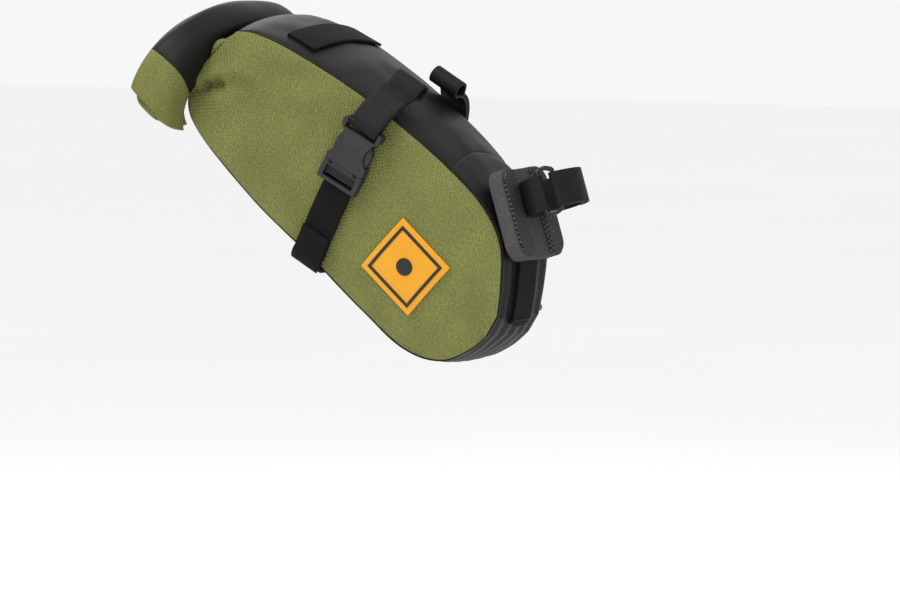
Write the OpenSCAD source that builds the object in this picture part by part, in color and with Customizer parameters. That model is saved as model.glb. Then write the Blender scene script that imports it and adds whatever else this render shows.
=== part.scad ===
// Roll-top saddle bag: wedge body, rolled mouth, two rail straps with side-release
// buckles, and a padded hook-and-loop strap round the seatpost.
// Origin: on the seatpost's axis at the middle of the seatpost strap. +X forward, +Z up.
// Bag frame: u runs down and forward along the bag, w stands on it, y is the bike's left.

/* [Fit on the bicycle] */
// Radius of the seatpost that the strap closes on
post_r = 15.8; // [13.6:0.1:17]
// Backward lean of the seatpost from upright, in degrees
post_lean = 17; // [14:1:20]
// Nose-down tilt of the bag from level, in degrees
bag_tilt = 35; // [30:1:38]
// Radius of the eye that takes a saddle rail
rail_eye_r = 3.6; // [3.5:0.05:4]
// Distance of each saddle rail from the middle
rail_y = 22; // [20:0.5:24]

/* [Bag body] */
// Thickness of the laminated fabric panels
panel_t = 1.2; // [0.8:0.1:1.6]
// Half width of the body at its nose
nose_half_w = 25; // [22:1:28]
// Growth of the half width per millimetre towards the tail
taper = 0.12; // [0.08:0.01:0.14]
// How far the side panels swell outwards
side_bulge = 5; // [2:0.5:7]
// Length of the rolled closure from end to end
roll_len = 176; // [160:2:176]

/* [Webbing and buckles] */
// Width of all the webbing
web_w = 20; // [18:1:20]
// Thickness of the webbing
web_t = 1.6; // [1.2:0.1:1.8]
// Width of the side-release buckles
buckle_w = 26; // [26:0.5:28]
// Thickness of the side-release buckles
buckle_t = 7.2; // [7:0.1:8]

/* [Seatpost strap] */
// Width of the pad across the nose
pad_w = 52; // [44:1:54]
// Height of the pad along the seatpost
pad_h = 53; // [44:1:56]
// Thickness of the strap that goes round the seatpost
strap_t = 1.2; // [1:0.1:1.2]

/* [Patch] */
// Side of the square patch on the right flank
patch_side = 40; // [30:1:42]

/* [Hidden] */
$fn = 48;
gap = 0.3;              // clearance between sewn neighbours
seam_gap = 0.1;         // between a panel's edge and the panel that it meets
edge_inset = 1.2;       // side panels stop this far inside the outline
eps = 0.01;

// Colours
green = "#7d8746";
black = "#26272b";
coated = "#303036";
grey = "#4a4a4d";
yellow = "#f0b01c";

// ---------- Curves ----------
function blend4(a, b, c, d, t) = 0.5 * (2 * b + (c - a) * t
    + (2 * a - 5 * b + 4 * c - d) * t * t + (3 * b - a - 3 * c + d) * t * t * t);
function smooth(P, n) = [for (i = [0:len(P) - 2], j = [0:n - 1])
    blend4(P[max(i - 1, 0)], P[i], P[i + 1], P[min(i + 2, len(P) - 1)], j / n),
    P[len(P) - 1]];
function normal_at(P, i) = let (d = P[min(i + 1, len(P) - 1)] - P[max(i - 1, 0)])
    [-d[1], d[0]] / norm(d);
function offset_path(P, d) = [for (i = [0:len(P) - 1]) P[i] + d * normal_at(P, i)];
function reversed(P) = [for (i = [len(P) - 1:-1:0]) P[i]];
function ribbon(P, t) = concat(offset_path(P, t / 2), reversed(offset_path(P, -t / 2)));

// ---------- Outline of the body in the bag frame ----------
// Paired points of the top seam and the bottom seam, from the tail to the nose
TOP_SEAM = [[-198, -28], [-188, -22], [-166, -17], [-124, -13], [-84, -13],
    [-46, -16], [-18, -22], [2, -34], [15, -54], [23, -71]];
BOTTOM_SEAM = [[-200, -38], [-202, -63], [-189, -90], [-142, -104.5], [-90, -111.5],
    [-48, -118], [-14, -121], [8, -113], [19, -97], [23.5, -83]];
seam_steps = 3;
top_pts = smooth(TOP_SEAM, seam_steps);
bottom_pts = smooth(BOTTOM_SEAM, seam_steps);
last = len(top_pts) - 1;
function half_w(u) = nose_half_w + taper * (23 - u);
// Swell of the side panel: none at the seams and the nose, full in the middle
function bulge_at(k) = side_bulge * sin(180 * min(1, (last - k) / last * 1.25) * 0.9);

function side_row(k, inset, off) = let (t = top_pts[k], b = bottom_pts[k],
        d = (b - t) / norm(b - t), p = t + d * inset, q = b - d * inset)
    [for (f = [0:1 / 6:1 + eps]) let (m = p + (q - p) * f)
        [m[0], half_w(m[0]) + bulge_at(k) * sin(180 * f) + off, m[1]]];

// Closed sheet between two grids of points, made as one polyhedron
module sheet(outer, inner, flip = false) {
    n = len(outer);
    m = len(outer[0]);
    points = concat([for (r = outer) each r], [for (r = inner) each r]);
    s = n * m;
    faces = concat(
        [for (i = [0:n - 2], j = [0:m - 2])
            each [[i * m + j, i * m + j + 1, (i + 1) * m + j],
                [i * m + j + 1, (i + 1) * m + j + 1, (i + 1) * m + j]]],
        [for (i = [0:n - 2], j = [0:m - 2])
            each [[s + i * m + j, s + (i + 1) * m + j, s + i * m + j + 1],
                [s + i * m + j + 1, s + (i + 1) * m + j, s + (i + 1) * m + j + 1]]],
        [for (i = [0:n - 2]) each [[i * m, (i + 1) * m, s + i * m],
            [(i + 1) * m, s + (i + 1) * m, s + i * m],
            [i * m + m - 1, s + i * m + m - 1, (i + 1) * m + m - 1],
            [(i + 1) * m + m - 1, s + i * m + m - 1, s + (i + 1) * m + m - 1]]],
        [for (j = [0:m - 2]) each [[j, s + j, j + 1], [j + 1, s + j, s + j + 1],
            [(n - 1) * m + j, (n - 1) * m + j + 1, s + (n - 1) * m + j],
            [(n - 1) * m + j + 1, s + (n - 1) * m + j + 1, s + (n - 1) * m + j]]]);
    polyhedron(points, flip ? faces : [for (f = faces) [f[0], f[2], f[1]]]);
}

module in_bag_frame() {
    rotate([0, bag_tilt, 0]) children();
}

module in_post_frame() {
    rotate([0, -post_lean, 0]) children();
}

module mirrored(left) {
    if (left) {
        mirror([0, 1, 0]) children();
    } else {
        children();
    }
}

// ---------- Body panels ----------
module side_panel(left) {
    outer = [for (k = [0:last]) side_row(k, edge_inset, 0)];
    inner = [for (k = [0:last]) side_row(k, edge_inset, -panel_t)];
    color(green) in_bag_frame() mirrored(!left) sheet(outer, inner);
}

// Strip that follows a stretch of the outline from side to side, crowned outwards
function strip_row(p, n, crown, drop) = let (w = half_w(p[0]) - panel_t - seam_gap)
    [for (f = [-1:1 / 4:1 + eps]) let (c = p + n * (crown * (1 - f * f) - drop))
        [c[0], f * w, c[1]]];

module strip(path, crowns) {
    rows = [for (i = [0:len(path) - 1]) [path[i], normal_at(path, i), lookup(path[i][0], crowns)]];
    in_bag_frame() sheet([for (r = rows) strip_row(r[0], r[1], r[2], 0)],
        [for (r = rows) strip_row(r[0], r[1], r[2], panel_t)], true);
}

split_top = 18;         // seam index where the top panel meets the front gusset
split_bottom = 18;      // seam index where the gusset meets the bottom panel
top_path = [for (k = [0:split_top]) top_pts[k]];
nose_path = concat([for (k = [split_top:last]) top_pts[k]],
    [for (k = [last:-1:split_bottom]) bottom_pts[k]]);
bottom_path = [for (k = [split_bottom:-1:0]) bottom_pts[k]];
top_crown = [[-198, 8], [-120, 7], [-60, 6], [-18, 3]];
nose_crown = [[-18, 3], [-11, 1], [24, 1]];
bottom_crown = [[-198, 3], [-14, 3]];

module trimmed_strip(path, crowns, a, b) {
    // The ends are cut back so that neighbouring strips don't overlap
    n = len(path);
    first = path[0] + (path[1] - path[0]) / norm(path[1] - path[0]) * a;
    end = path[n - 1] + (path[n - 2] - path[n - 1]) / norm(path[n - 2] - path[n - 1]) * b;
    strip(concat([first], [for (i = [1:n - 2]) path[i]], [end]), crowns);
}

module top_panel() {
    color(coated) trimmed_strip(top_path, top_crown, 0, gap);
}

module front_gusset() {
    color(coated) trimmed_strip(nose_path, nose_crown, gap, gap);
}

module bottom_panel() {
    color(black) trimmed_strip(bottom_path, bottom_crown, gap, 0);
}

// Board that keeps the base of the bag flat, loose inside above the bottom panel
board_lift = 4.5;       // from the bottom seam's outline to the board
board_t = 1.4;
board_margin = 6;
module base_stiffener() {
    path = [for (k = [17:-1:6]) bottom_pts[k] + [0, board_lift]];
    function row(p, up) = [for (f = [-1:0.5:1])
        [p[0], f * (half_w(p[0]) - board_margin), p[1] + up]];
    color(grey) in_bag_frame() sheet([for (p = path) row(p, 0)], [for (p = path) row(p, board_t)]);
}

// Binding tape inside, along the seam between the side panel and the strips round it
tape_inset = 3;         // from the outline in to the tape
tape_near = 2.2;        // from the side panel's plane to the tape's two edges
tape_far = 6;
binding_t = 0.8;
module seam_tape(left) {
    outline = concat([for (k = [3:last]) top_pts[k]], [for (k = [last:-1:3]) bottom_pts[k]]);
    rows = [for (i = [0:len(outline) - 1]) [outline[i], normal_at(outline, i)]];
    function row(r, depth) = [for (d = [tape_near, tape_far]) let (c = r[0] - r[1] * tape_inset,
            q = c - r[1] * depth)
        [q[0], half_w(c[0]) - d, q[1]]];
    color(black) in_bag_frame() mirrored(!left)
        sheet([for (r = rows) row(r, 0)], [for (r = rows) row(r, binding_t)], true);
}

// ---------- Rolled closure ----------
roll_turns = 2;
roll_pitch = 4.4;
roll_t = 2.4;           // two layers of fabric
roll_half_h = 24;
roll_half_t = 14;
roll_start = 62;        // degrees round the roll where the neck comes in
roll_u = -220.5;
roll_w = -51;
roll_half = roll_len / 2;
// The roll bends down towards both ends, and comes forward there
roll_forward = 14.5;
roll_bend = 88;         // turn of its axis at the ends, in degrees
bend_power = 1.7;       // how late along the roll the bend comes
end_taper = 0.12;       // share by which the section shrinks at the ends
bend_step = 2;
function turn_at(s) = roll_bend * pow(abs(s) / roll_half, bend_power);
// Half of the roll's axis: distance along it, distance out from the middle, and drop
roll_axis = [for (s = 0, y = 0, w = 0; s <= roll_half + bend_step;
    y = y + bend_step * cos(turn_at(s + bend_step / 2)),
    w = w + bend_step * sin(turn_at(s + bend_step / 2)), s = s + bend_step) [s, y, w]];
roll_out = [for (r = roll_axis) [r[0], r[1]]];
roll_drop = [for (r = roll_axis) [r[0], r[2]]];
// Place of a point q of the roll's section, at s along its axis
function in_roll(s, q) = let (f = abs(s) / roll_half, size = 1 - end_taper * pow(f, 3), turn = turn_at(s))
    [roll_u + roll_forward * pow(f, 5) + q[0] * size,
        (s < 0 ? -1 : 1) * (lookup(abs(s), roll_out) + q[1] * size * sin(turn)),
        roll_w - lookup(abs(s), roll_drop) + q[1] * size * cos(turn)];
function squircle(a, ru, rw) = [ru * sign(cos(a)) * pow(abs(cos(a)), 0.75),
    rw * sign(sin(a)) * pow(abs(sin(a)), 0.75)];
function roll_point(a, s, off) = let (in = (a - roll_start) / 360 * roll_pitch)
    in_roll(s, squircle(a, roll_half_t - in + off, roll_half_h - in + off));

module roll_part(s0, s1, n) {
    angles = [roll_start:20:roll_start + 360 * roll_turns];
    places = [for (i = [0:n]) s0 + (s1 - s0) * i / n];
    in_bag_frame() sheet([for (a = angles) [for (s = places) roll_point(a, s, 0)]],
        [for (a = angles) [for (s = places) roll_point(a, s, -roll_t)]]);
}

roll_split = 66;        // seam between the black middle and a green end
module roll_centre() {
    color(coated) roll_part(-roll_split, roll_split, 12);
}

module roll_end(left) {
    color(green) mirrored(!left) roll_part(roll_split + gap, roll_half, 4);
}

// Stiff strips sewn along the mouth, in the core of the roll
stiffener_half = 50;
stiffener_h = 11;
stiffener_t = 0.8;
function stiffener_face(t) = [for (w = [-stiffener_h, stiffener_h])
    [for (s = [-stiffener_half:10:stiffener_half]) in_roll(s, [t, w])]];
module mouth_stiffener() {
    color(grey) in_bag_frame() for (side = [-stiffener_t, stiffener_t])
        sheet(stiffener_face(side + stiffener_t / 2), stiffener_face(side - stiffener_t / 2), true);
}

// The flattened neck from the body's tail over to the roll
neck_t = 2;
neck_half = 52;
neck_reach = 58;        // half of its width where it meets the roll
neck_dir = (top_pts[0] - top_pts[1]) / norm(top_pts[0] - top_pts[1]);
neck_start = top_pts[0] + 3 * gap * neck_dir;
function neck_point(t, f) =
    let (c = neck_start + normal_at(top_pts, 0) * top_crown[0][1] * (1 - t * t),
        a = [c[0], t * neck_half, c[1]],
        b = roll_point(roll_start, t * neck_reach, 0) + [2 * gap, 0, 0]) a + (b - a) * f;
function neck_row(f, off) = [for (t = [-1:0.125:1]) neck_point(t, f) + [0, 0, off]];
module neck() {
    steps = [0:0.25:1];
    color(coated) in_bag_frame() sheet([for (f = steps) neck_row(f, 0)],
        [for (f = steps) neck_row(f, -neck_t)], true);
}

// ---------- Trim sewn to the body ----------
// Flat webbing sewn across the top panel near the tail, following its crown
cross_u = -168;
cross_half = 38;
function cross_row(u, off) = [for (y = [-cross_half:cross_half / 5:cross_half])
    [u, y, seam_w_top(u) + lookup(u, top_crown) * (1 - pow(y / half_w(u), 2)) + off]];
module top_cross_strip() {
    us = [for (x = [-web_w / 2, 0, web_w / 2]) cross_u + x];
    color(black) in_bag_frame() sheet([for (u = us) cross_row(u, 0.5 + web_t)],
        [for (u = us) cross_row(u, 0.5)]);
}

// Distance from the nose's outline to the webbing lying on its crown
function nose_lift(p) = lookup(p[0], nose_crown) + 0.5;
module nose_strip() {
    path = [for (i = [5:len(nose_path) - 3]) nose_path[i]];
    rows = [for (i = [0:len(path) - 1]) [path[i], normal_at(path, i)]];
    function row(r, off) = [for (y = [-web_w / 2, 0, web_w / 2])
        let (c = r[0] + r[1] * (nose_lift(r[0]) + off)) [c[0], y, c[1]]];
    color(black) in_bag_frame() sheet([for (r = rows) row(r, web_t)],
        [for (r = rows) row(r, 0)], true);
}

module nose_bar_tack() {
    p = nose_path[len(nose_path) - 6];
    n = normal_at(nose_path, len(nose_path) - 6);
    c = p + n * (nose_lift(p) + web_t + 0.05);
    color(grey) in_bag_frame() translate([c[0], 0, c[1]]) rotate([0, 90 - atan2(n[1], n[0]), 0])
        for (x = [-2, 2], y = [-7.5:2.5:7.5])
            translate([x, y, 0.35]) cube([0.9, 1.9, 0.7], center = true);
}

// ---------- Girth webbing ----------
strap_u = -97;          // where the strap crosses the body
strap_lean = 5;         // lean of the strap's plane from square to the bag, in degrees
seat_gap = 0.5;
joint_w = -50.5;        // height of the line where plug and socket meet
buckle_lift = 5.4;      // from the side panel to the middle of the buckle
function seam_w_top(u) = lookup(u, top_pts);
function seam_w_bottom(u) = lookup(u, bottom_pts);
function flank_y(u, w) = let (a = seam_w_top(u), b = seam_w_bottom(u),
        f = max(0, min(1, (a - w) / (a - b))))
    half_w(u) + side_bulge * sin(180 * f);
function strap_centre(w) = strap_u - (w + 45) * tan(strap_lean);

flank_stops = [-62, -70, -82, -94];  // heights where the webbing follows the flank
corner_in = 5;          // from the flank in to the middle of the corner's curve
corner_out_r = 6.5;
corner_down_r = 9.2;
base_half = 22;         // the webbing lies flat under the bag to this far out
// Half of the webbing's path across the body, from the plug down and under
function girth_half(x, off) = let (u0 = strap_centre(-90) + x, wb = seam_w_bottom(u0),
        y0 = half_w(u0))
    concat([for (w = flank_stops) let (u = strap_centre(w) + x)
            [u, flank_y(u, w) + seat_gap + off, w]],
        [for (a = [0:30:90]) let (u = strap_centre(wb) + x)
            [u, y0 - corner_in + (corner_out_r + off) * cos(a),
                wb + corner_in - (corner_down_r + off) * sin(a)]],
        [for (y = [base_half, 0]) let (u = strap_centre(wb) + x)
            [u, y, wb + corner_in - corner_down_r - off]]);
function girth(x, off) = let (h = girth_half(x, off))
    concat(h, [for (i = [len(h) - 2:-1:0]) [h[i][0], -h[i][1], h[i][2]]]);

module girth_webbing() {
    xs = [-web_w / 2, 0, web_w / 2];
    color(black) in_bag_frame() sheet([for (x = xs) girth(x, web_t)],
        [for (x = xs) girth(x, 0)], true);
}

// Tail of the webbing folded back under the flank, one on each side
module webbing_keepers() {
    function tab(x, off) = let (h = girth_half(x, off)) [for (i = [2:5]) h[i]];
    xs = [-web_w / 2, 0, web_w / 2];
    color(black) in_bag_frame() for (left = [false, true]) mirrored(!left)
        sheet([for (x = xs) tab(x, 2 * web_t + gap)], [for (x = xs) tab(x, web_t + gap)]);
}

// ---------- Side-release buckles ----------
// Buckle frame: z up along the strap from the line where plug and socket meet,
// x across the strap towards the nose, y out of the bag
buckle_y = flank_y(strap_u, -40) + buckle_lift;
module in_buckle_frame(left) {
    in_bag_frame() mirrored(!left) translate([strap_centre(joint_w), buckle_y, joint_w])
        rotate([0, 0, -atan(taper)]) rotate([0, -strap_lean, 0]) children();
}

socket_len = 28;
waist_z = 12.5;
waist_cut_r = 9.6;      // thumb openings at the waist
waist_cut_out = 4.6;    // their centres stand this far outside the socket
mouth_half = 11.6;
cavity_h = 4.4;
cavity_len = 20;
slot_half = 10.6;       // slot that the rail strap goes through
slot_z = 22.4;
slot_t = 2.6;
module socket_outline() {
    difference() {
        translate([-buckle_w / 2, gap]) square([buckle_w, socket_len - gap]);
        for (s = [-1, 1]) translate([s * (buckle_w / 2 + waist_cut_out), waist_z])
            circle(waist_cut_r);
    }
}

module buckle_socket(left) {
    color(black) in_buckle_frame(left) difference() {
        rotate([90, 0, 0]) linear_extrude(buckle_t, center = true) socket_outline();
        translate([-mouth_half, -cavity_h / 2, -1]) cube([2 * mouth_half, cavity_h, cavity_len + 1]);
        translate([-slot_half, -buckle_t, slot_z]) cube([2 * slot_half, 2 * buckle_t, slot_t]);
    }
}

frame_len = 12;
frame_t = 5.6;
window_half = 10.2;     // opening of the plug's frame
window_z = 2.4;
window_h = 6.6;
bar_z = 4.6;            // ladder bar, from the frame's end
bar_h = 2.6;
bar_depth = 2.4;
rib_pitch = 0.85;
tongue = [6, 3.6, 14];
prong_x = 8.6;
prong_root_z = -0.4;
prong_r = 1.5;
module buckle_plug(left) {
    color(black) in_buckle_frame(left) {
        difference() {
            translate([-buckle_w / 2, -frame_t / 2, -frame_len]) cube([buckle_w, frame_t, frame_len]);
            translate([-window_half, -frame_t, -frame_len + window_z])
                cube([2 * window_half, 2 * frame_t, window_h]);
            for (s = [-1, 1]) translate([s * prong_x, frame_t, prong_root_z])
                rotate([90, 0, 0]) cylinder(r = prong_r + 0.08, h = 2 * frame_t);
        }
        // Ladder bar that grips the webbing
        bar_half = window_half + 0.1;
        rib_half = window_half - 0.6;
        translate([-bar_half, -bar_depth / 2, -frame_len + bar_z]) cube([2 * bar_half, bar_depth, bar_h]);
        for (i = [-1:1]) translate([-rib_half, 1, -frame_len + bar_z + 0.7 + i * rib_pitch])
            cube([2 * rib_half, 0.9, 0.45]);
        // Guide tongue between the prongs
        translate([-tongue[0] / 2, -tongue[1] / 2, -0.5]) cube(tongue);
    }
}

prong_h = 3.6;
module prong(left, s) {
    // Slim arm from the root, swelling into the thumb pad that shows in the waist
    arm = [[-1.1, 0], [-1.0, 8], [-0.6, 12], [-1.0, 18.4], [0.6, 18.9], [2.6, 16.5],
        [2.9, 12], [2.5, 7.5], [1.2, 3.5], [1.1, 0]];
    color(black) in_buckle_frame(left) translate([s * prong_x, 0, prong_root_z]) {
        rotate([90, 0, 0]) cylinder(r = prong_r, h = prong_h, center = true);
        rotate([90, 0, 0]) linear_extrude(prong_h, center = true)
            polygon([for (p = arm) [s * p[0], p[1]]]);
    }
}

// ---------- Rail straps ----------
rail_eye = [-101.2, 3.3];  // where the strap's middle meets the rail, in the bag frame
rail_slope = post_lean;  // the rails climb to the rear by about the post's lean
eye_t = 1.6;
shoulder = [half_w(strap_u) + 2.6, -10.6];  // where the strap leaves the flank
crest = [35, -3.6];     // where it lies on the top panel
module rail_strap(left) {
    // Doubled strap from the socket's slot, over the shoulder to the eye
    slot_w = joint_w + 24.6;
    centre = strap_centre(0);
    path = smooth([[buckle_y - 0.2, slot_w - 1.4], [buckle_y - 0.5, slot_w + 5],
        shoulder, crest, [rail_y + 3.2, 0.5]], 4);
    color(black) in_bag_frame() mirrored(!left) difference() {
        union() {
            translate([centre, 0, 0]) rotate([0, -strap_lean, 0]) rotate([90, 0, 90])
                linear_extrude(web_w, center = true) polygon(ribbon(path, 2 * eye_t));
            rail_cylinder(rail_eye_r + eye_t, web_w);
        }
        rail_cylinder(rail_eye_r, 3 * web_w);
    }
}

module rail_cylinder(r, h) {
    translate([rail_eye[0], rail_y, rail_eye[1]])
        rotate([0, 90 - (bag_tilt - rail_slope), 0]) cylinder(r = r, h = h, center = true);
}

// Zigzag bar tacks across the doubled strap
module rail_strap_stitches(left) {
    run = shoulder - crest;
    dir = atan2(run[1], run[0]);
    mid = (shoulder + crest) / 2;
    color(grey) in_bag_frame() mirrored(!left)
        translate([strap_centre(mid[1]), mid[0], mid[1]]) rotate([dir - 8, 0, 0])
            for (x = [-8:2:8], r = [0, 1])
                translate([x + r, 3 * r - 1.5, eye_t + 0.42]) cube([0.8, 2.4, 0.6], center = true);
}

// ---------- Seatpost pad and strap, in the post frame ----------
pad_back = -24;
foam_front = -15.2;
mesh_front = -13.8;
recess_r = post_r + strap_t + 0.6;
pad_drop = -7;          // the pad's middle below the strap's middle
module rounded_square(w, h, r) {
    square([w - 2 * r, h], center = true);
    square([w, h - 2 * r], center = true);
    for (x = [-1, 1], y = [-1, 1]) translate([x * (w / 2 - r), y * (h / 2 - r)]) circle(r);
}

module pad_solid() {
    // Rounded corners as seen along the post's front and from the side
    intersection() {
        translate([pad_back - 1, 0, pad_drop]) rotate([90, 0, 90])
            linear_extrude(20) rounded_square(pad_w, pad_h, 9);
        linear_extrude(pad_h + 30, center = true) children();
    }
}

module foam_profile() {
    difference() {
        translate([pad_back, -pad_w / 2]) square([foam_front - pad_back, pad_w]);
        circle(recess_r + 1.2);
    }
}

module pad_foam() {
    color(grey) in_post_frame() pad_solid() foam_profile();
}

module pad_mesh() {
    color(black) in_post_frame() pad_solid() difference() {
        translate([-18.6, -pad_w / 2 + 3]) square([18.6 + mesh_front, pad_w - 6]);
        circle(recess_r);
        difference() {
            translate([-30, -40]) square([30 + foam_front + 0.1, 80]);
            circle(recess_r + 1.1);
        }
    }
}

// Plan of the strap round the post: angle 0 is forward, positive towards the bike's right
ring_c_r = post_r + 2.8;  // how far out the ring's upright bars stand
bar_r = 1.4;
rear_bar = 78;
front_bar = 50;
function around(r, a) = r * [cos(a), -sin(a)];
function around_arc(r, a0, a1, n) = [for (i = [0:n]) around(r, a0 + (a1 - a0) * i / n)];

module ring_wall(r, t, a0, a1) {
    // Exact part of a tube round the post from angle a0 to a1
    difference() {
        circle(r + t);
        circle(r);
        polygon(concat([[0, 0]], around_arc(60, a1, a0 + 360, 12)));
    }
}

module bar_fold(bar, a0, a1) {
    // Strap folded round an upright bar of the ring
    c = around(ring_c_r, bar);
    translate(c) rotate(-bar) difference() {
        circle(bar_r + 0.1 + strap_t);
        circle(bar_r + 0.1);
        polygon(concat([[0, 0]], [for (i = [0:8]) let (a = a1 + (a0 + 360 - a1) * i / 8)
            8 * [cos(a), sin(a)]]));
    }
}

module pad_strap() {
    color(black) in_post_frame() linear_extrude(web_w, center = true) {
        ring_wall(post_r, strap_t, rear_bar, 178);
        // The fold goes round the ring's rear bar and back along the outside
        bar_fold(rear_bar, -10, 190);
        ring_wall(ring_c_r + bar_r + 0.1, strap_t, rear_bar, rear_bar + 10);
    }
}

module strap_ring() {
    half = 12.2;
    chord = around(ring_c_r, front_bar) - around(ring_c_r, rear_bar);
    start = around(ring_c_r, rear_bar);
    color(black) in_post_frame() translate([start[0], start[1], 0])
        rotate([0, 0, atan2(chord[1], chord[0])]) {
            for (x = [0, norm(chord)]) translate([x, 0, 0])
                cylinder(r = bar_r, h = 2 * half + 2 * bar_r, center = true);
            for (s = [-1, 1]) translate([norm(chord) / 2, 0, s * half])
                cube([norm(chord), 1.8, 2.2], center = true);
        }
}

flap_gap_deg = 10;      // the strap's inner layer stops short of the bar by this much
module post_strap() {
    color(black) in_post_frame() linear_extrude(web_w, center = true)
        ring_wall(post_r, strap_t, -178, front_bar - flap_gap_deg);
}

tape_t = 0.7;
tape_r = post_r + strap_t + 0.05;
module loop_tape() {
    color(grey) in_post_frame() linear_extrude(web_w - 2, center = true)
        ring_wall(tape_r, tape_t, -62, 20);
}

hook_r = tape_r + tape_t + 0.3;
flap_r = hook_r + tape_t + 0.05;
flap_end = -70;
module strap_flap() {
    // Fold round the front bar, a short ramp in, then the flap lying on the strap
    fold_r = bar_r + 0.1 + strap_t / 2;
    mid = flap_r + strap_t / 2;
    fold = [for (a = [180:20:360]) around(ring_c_r, front_bar)
        + fold_r * [cos(a - front_bar), sin(a - front_bar)]];
    ramp = smooth([around(ring_c_r + fold_r, front_bar - 4), around(ring_c_r + fold_r - 0.6, 38),
        around(mid + 0.3, 28), around(mid, 20)], 3);
    color(black) in_post_frame() linear_extrude(web_w, center = true)
        polygon(ribbon(concat(fold, ramp, around_arc(mid, 16, flap_end, 18)), strap_t));
}

module hook_tape() {
    color(grey) in_post_frame() linear_extrude(web_w - 2, center = true)
        ring_wall(hook_r, tape_t, flap_end + 6, 14);
}

// ---------- Patch on the right flank ----------
patch_u = -37;
patch_w = -78;
patch_t = 1.6;
module on_flank() {
    in_bag_frame() translate([patch_u, -flank_y(patch_u, patch_w) - 0.5, patch_w])
        rotate([0, 0, atan(taper)]) rotate([6, 0, 0]) rotate([0, -bag_tilt, 0])
            rotate([90, 45, 0]) children();
}

module patch_frame(side, band, h) {
    linear_extrude(h) difference() {
        square(side, center = true);
        square(side - 2 * band, center = true);
    }
}

module flank_patch() {
    color(yellow) on_flank() difference() {
        linear_extrude(patch_t) square(patch_side, center = true);
        translate([0, 0, patch_t - 0.4]) patch_frame(patch_side - 7, 1.4, 1);
        translate([0, 0, patch_t - 0.4]) linear_extrude(1) circle(5.2);
    }
}

module patch_inlay() {
    color(black) on_flank() translate([0, 0, patch_t - 0.39]) {
        patch_frame(patch_side - 7.1, 1.3, 0.44);
        linear_extrude(0.44) circle(5.1);
    }
}

side_panel(false);  // side_panel_right
side_panel(true);  // side_panel_left
top_panel();
front_gusset();
bottom_panel();
base_stiffener();
seam_tape(false);  // seam_tape_right
seam_tape(true);  // seam_tape_left
neck();
roll_centre();
roll_end(false);  // roll_end_right
roll_end(true);  // roll_end_left
mouth_stiffener();
top_cross_strip();
nose_strip();
nose_bar_tack();
girth_webbing();
webbing_keepers();
rail_strap(false);  // rail_strap_right
rail_strap(true);  // rail_strap_left
rail_strap_stitches(false);  // rail_strap_stitches_right
rail_strap_stitches(true);  // rail_strap_stitches_left
buckle_socket(false);  // buckle_socket_right
buckle_socket(true);  // buckle_socket_left
buckle_plug(false);  // buckle_plug_right
buckle_plug(true);  // buckle_plug_left
prong(false, 1);  // prong_front_right
prong(false, -1);  // prong_rear_right
prong(true, 1);  // prong_front_left
prong(true, -1);  // prong_rear_left
pad_foam();
pad_mesh();
pad_strap();
strap_ring();
post_strap();
loop_tape();
strap_flap();
hook_tape();
flank_patch();
patch_inlay();
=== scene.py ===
import math

import bmesh
import bpy
from mathutils import Matrix, Vector, noise


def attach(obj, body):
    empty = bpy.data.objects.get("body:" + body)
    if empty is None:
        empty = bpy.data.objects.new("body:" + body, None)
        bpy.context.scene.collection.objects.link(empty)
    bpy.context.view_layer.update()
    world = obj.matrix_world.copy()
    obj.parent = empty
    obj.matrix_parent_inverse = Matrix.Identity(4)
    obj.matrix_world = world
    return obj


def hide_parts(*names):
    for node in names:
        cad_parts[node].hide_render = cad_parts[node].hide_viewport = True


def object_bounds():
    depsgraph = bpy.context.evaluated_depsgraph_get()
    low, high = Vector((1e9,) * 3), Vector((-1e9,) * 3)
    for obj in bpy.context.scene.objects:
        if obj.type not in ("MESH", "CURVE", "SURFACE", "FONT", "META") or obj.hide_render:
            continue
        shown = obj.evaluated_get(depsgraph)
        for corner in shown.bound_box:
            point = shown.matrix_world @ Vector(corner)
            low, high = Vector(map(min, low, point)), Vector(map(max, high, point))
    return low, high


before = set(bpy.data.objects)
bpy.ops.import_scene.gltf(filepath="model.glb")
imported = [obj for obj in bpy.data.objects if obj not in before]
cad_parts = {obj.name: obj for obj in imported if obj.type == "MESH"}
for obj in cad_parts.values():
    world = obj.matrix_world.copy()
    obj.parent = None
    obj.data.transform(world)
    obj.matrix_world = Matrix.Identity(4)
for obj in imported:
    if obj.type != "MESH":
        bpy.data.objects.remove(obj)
CAD_BOX = [list(corner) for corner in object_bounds()]

bl_info = {
    "name": "Roll-top saddle bag",
    "version": (1, 0, 0),
    "blender": (4, 5, 0),
    "location": "View3D > Sidebar > Saddle bag",
    "description": "Models the fabric, webbing, buckles and seatpost strap of a roll-top saddle bag",
    "category": "Object",
}

MM = 0.001


def hex_colour(text):
    """Linear colour from an sRGB hex value."""
    parts = [int(text[i:i + 2], 16) / 255 for i in (1, 3, 5)]
    return tuple(c / 12.92 if c <= 0.04045 else ((c + 0.055) / 1.055) ** 2.4 for c in parts)


# ---------------------------------------------------------------- frames
# Bag frame: u runs down and forward along the bag, w stands on it, y is the bike's left.
BAG_TILT = 35
POST_LEAN = 17
BAG = Matrix.Rotation(math.radians(BAG_TILT), 4, "Y") @ Matrix.Scale(MM, 4)
POST = Matrix.Rotation(math.radians(-POST_LEAN), 4, "Y") @ Matrix.Scale(MM, 4)
FLIP = Matrix.Scale(-1, 4, (0, 1, 0))
SIDES = (("right", -1), ("left", 1))

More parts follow.
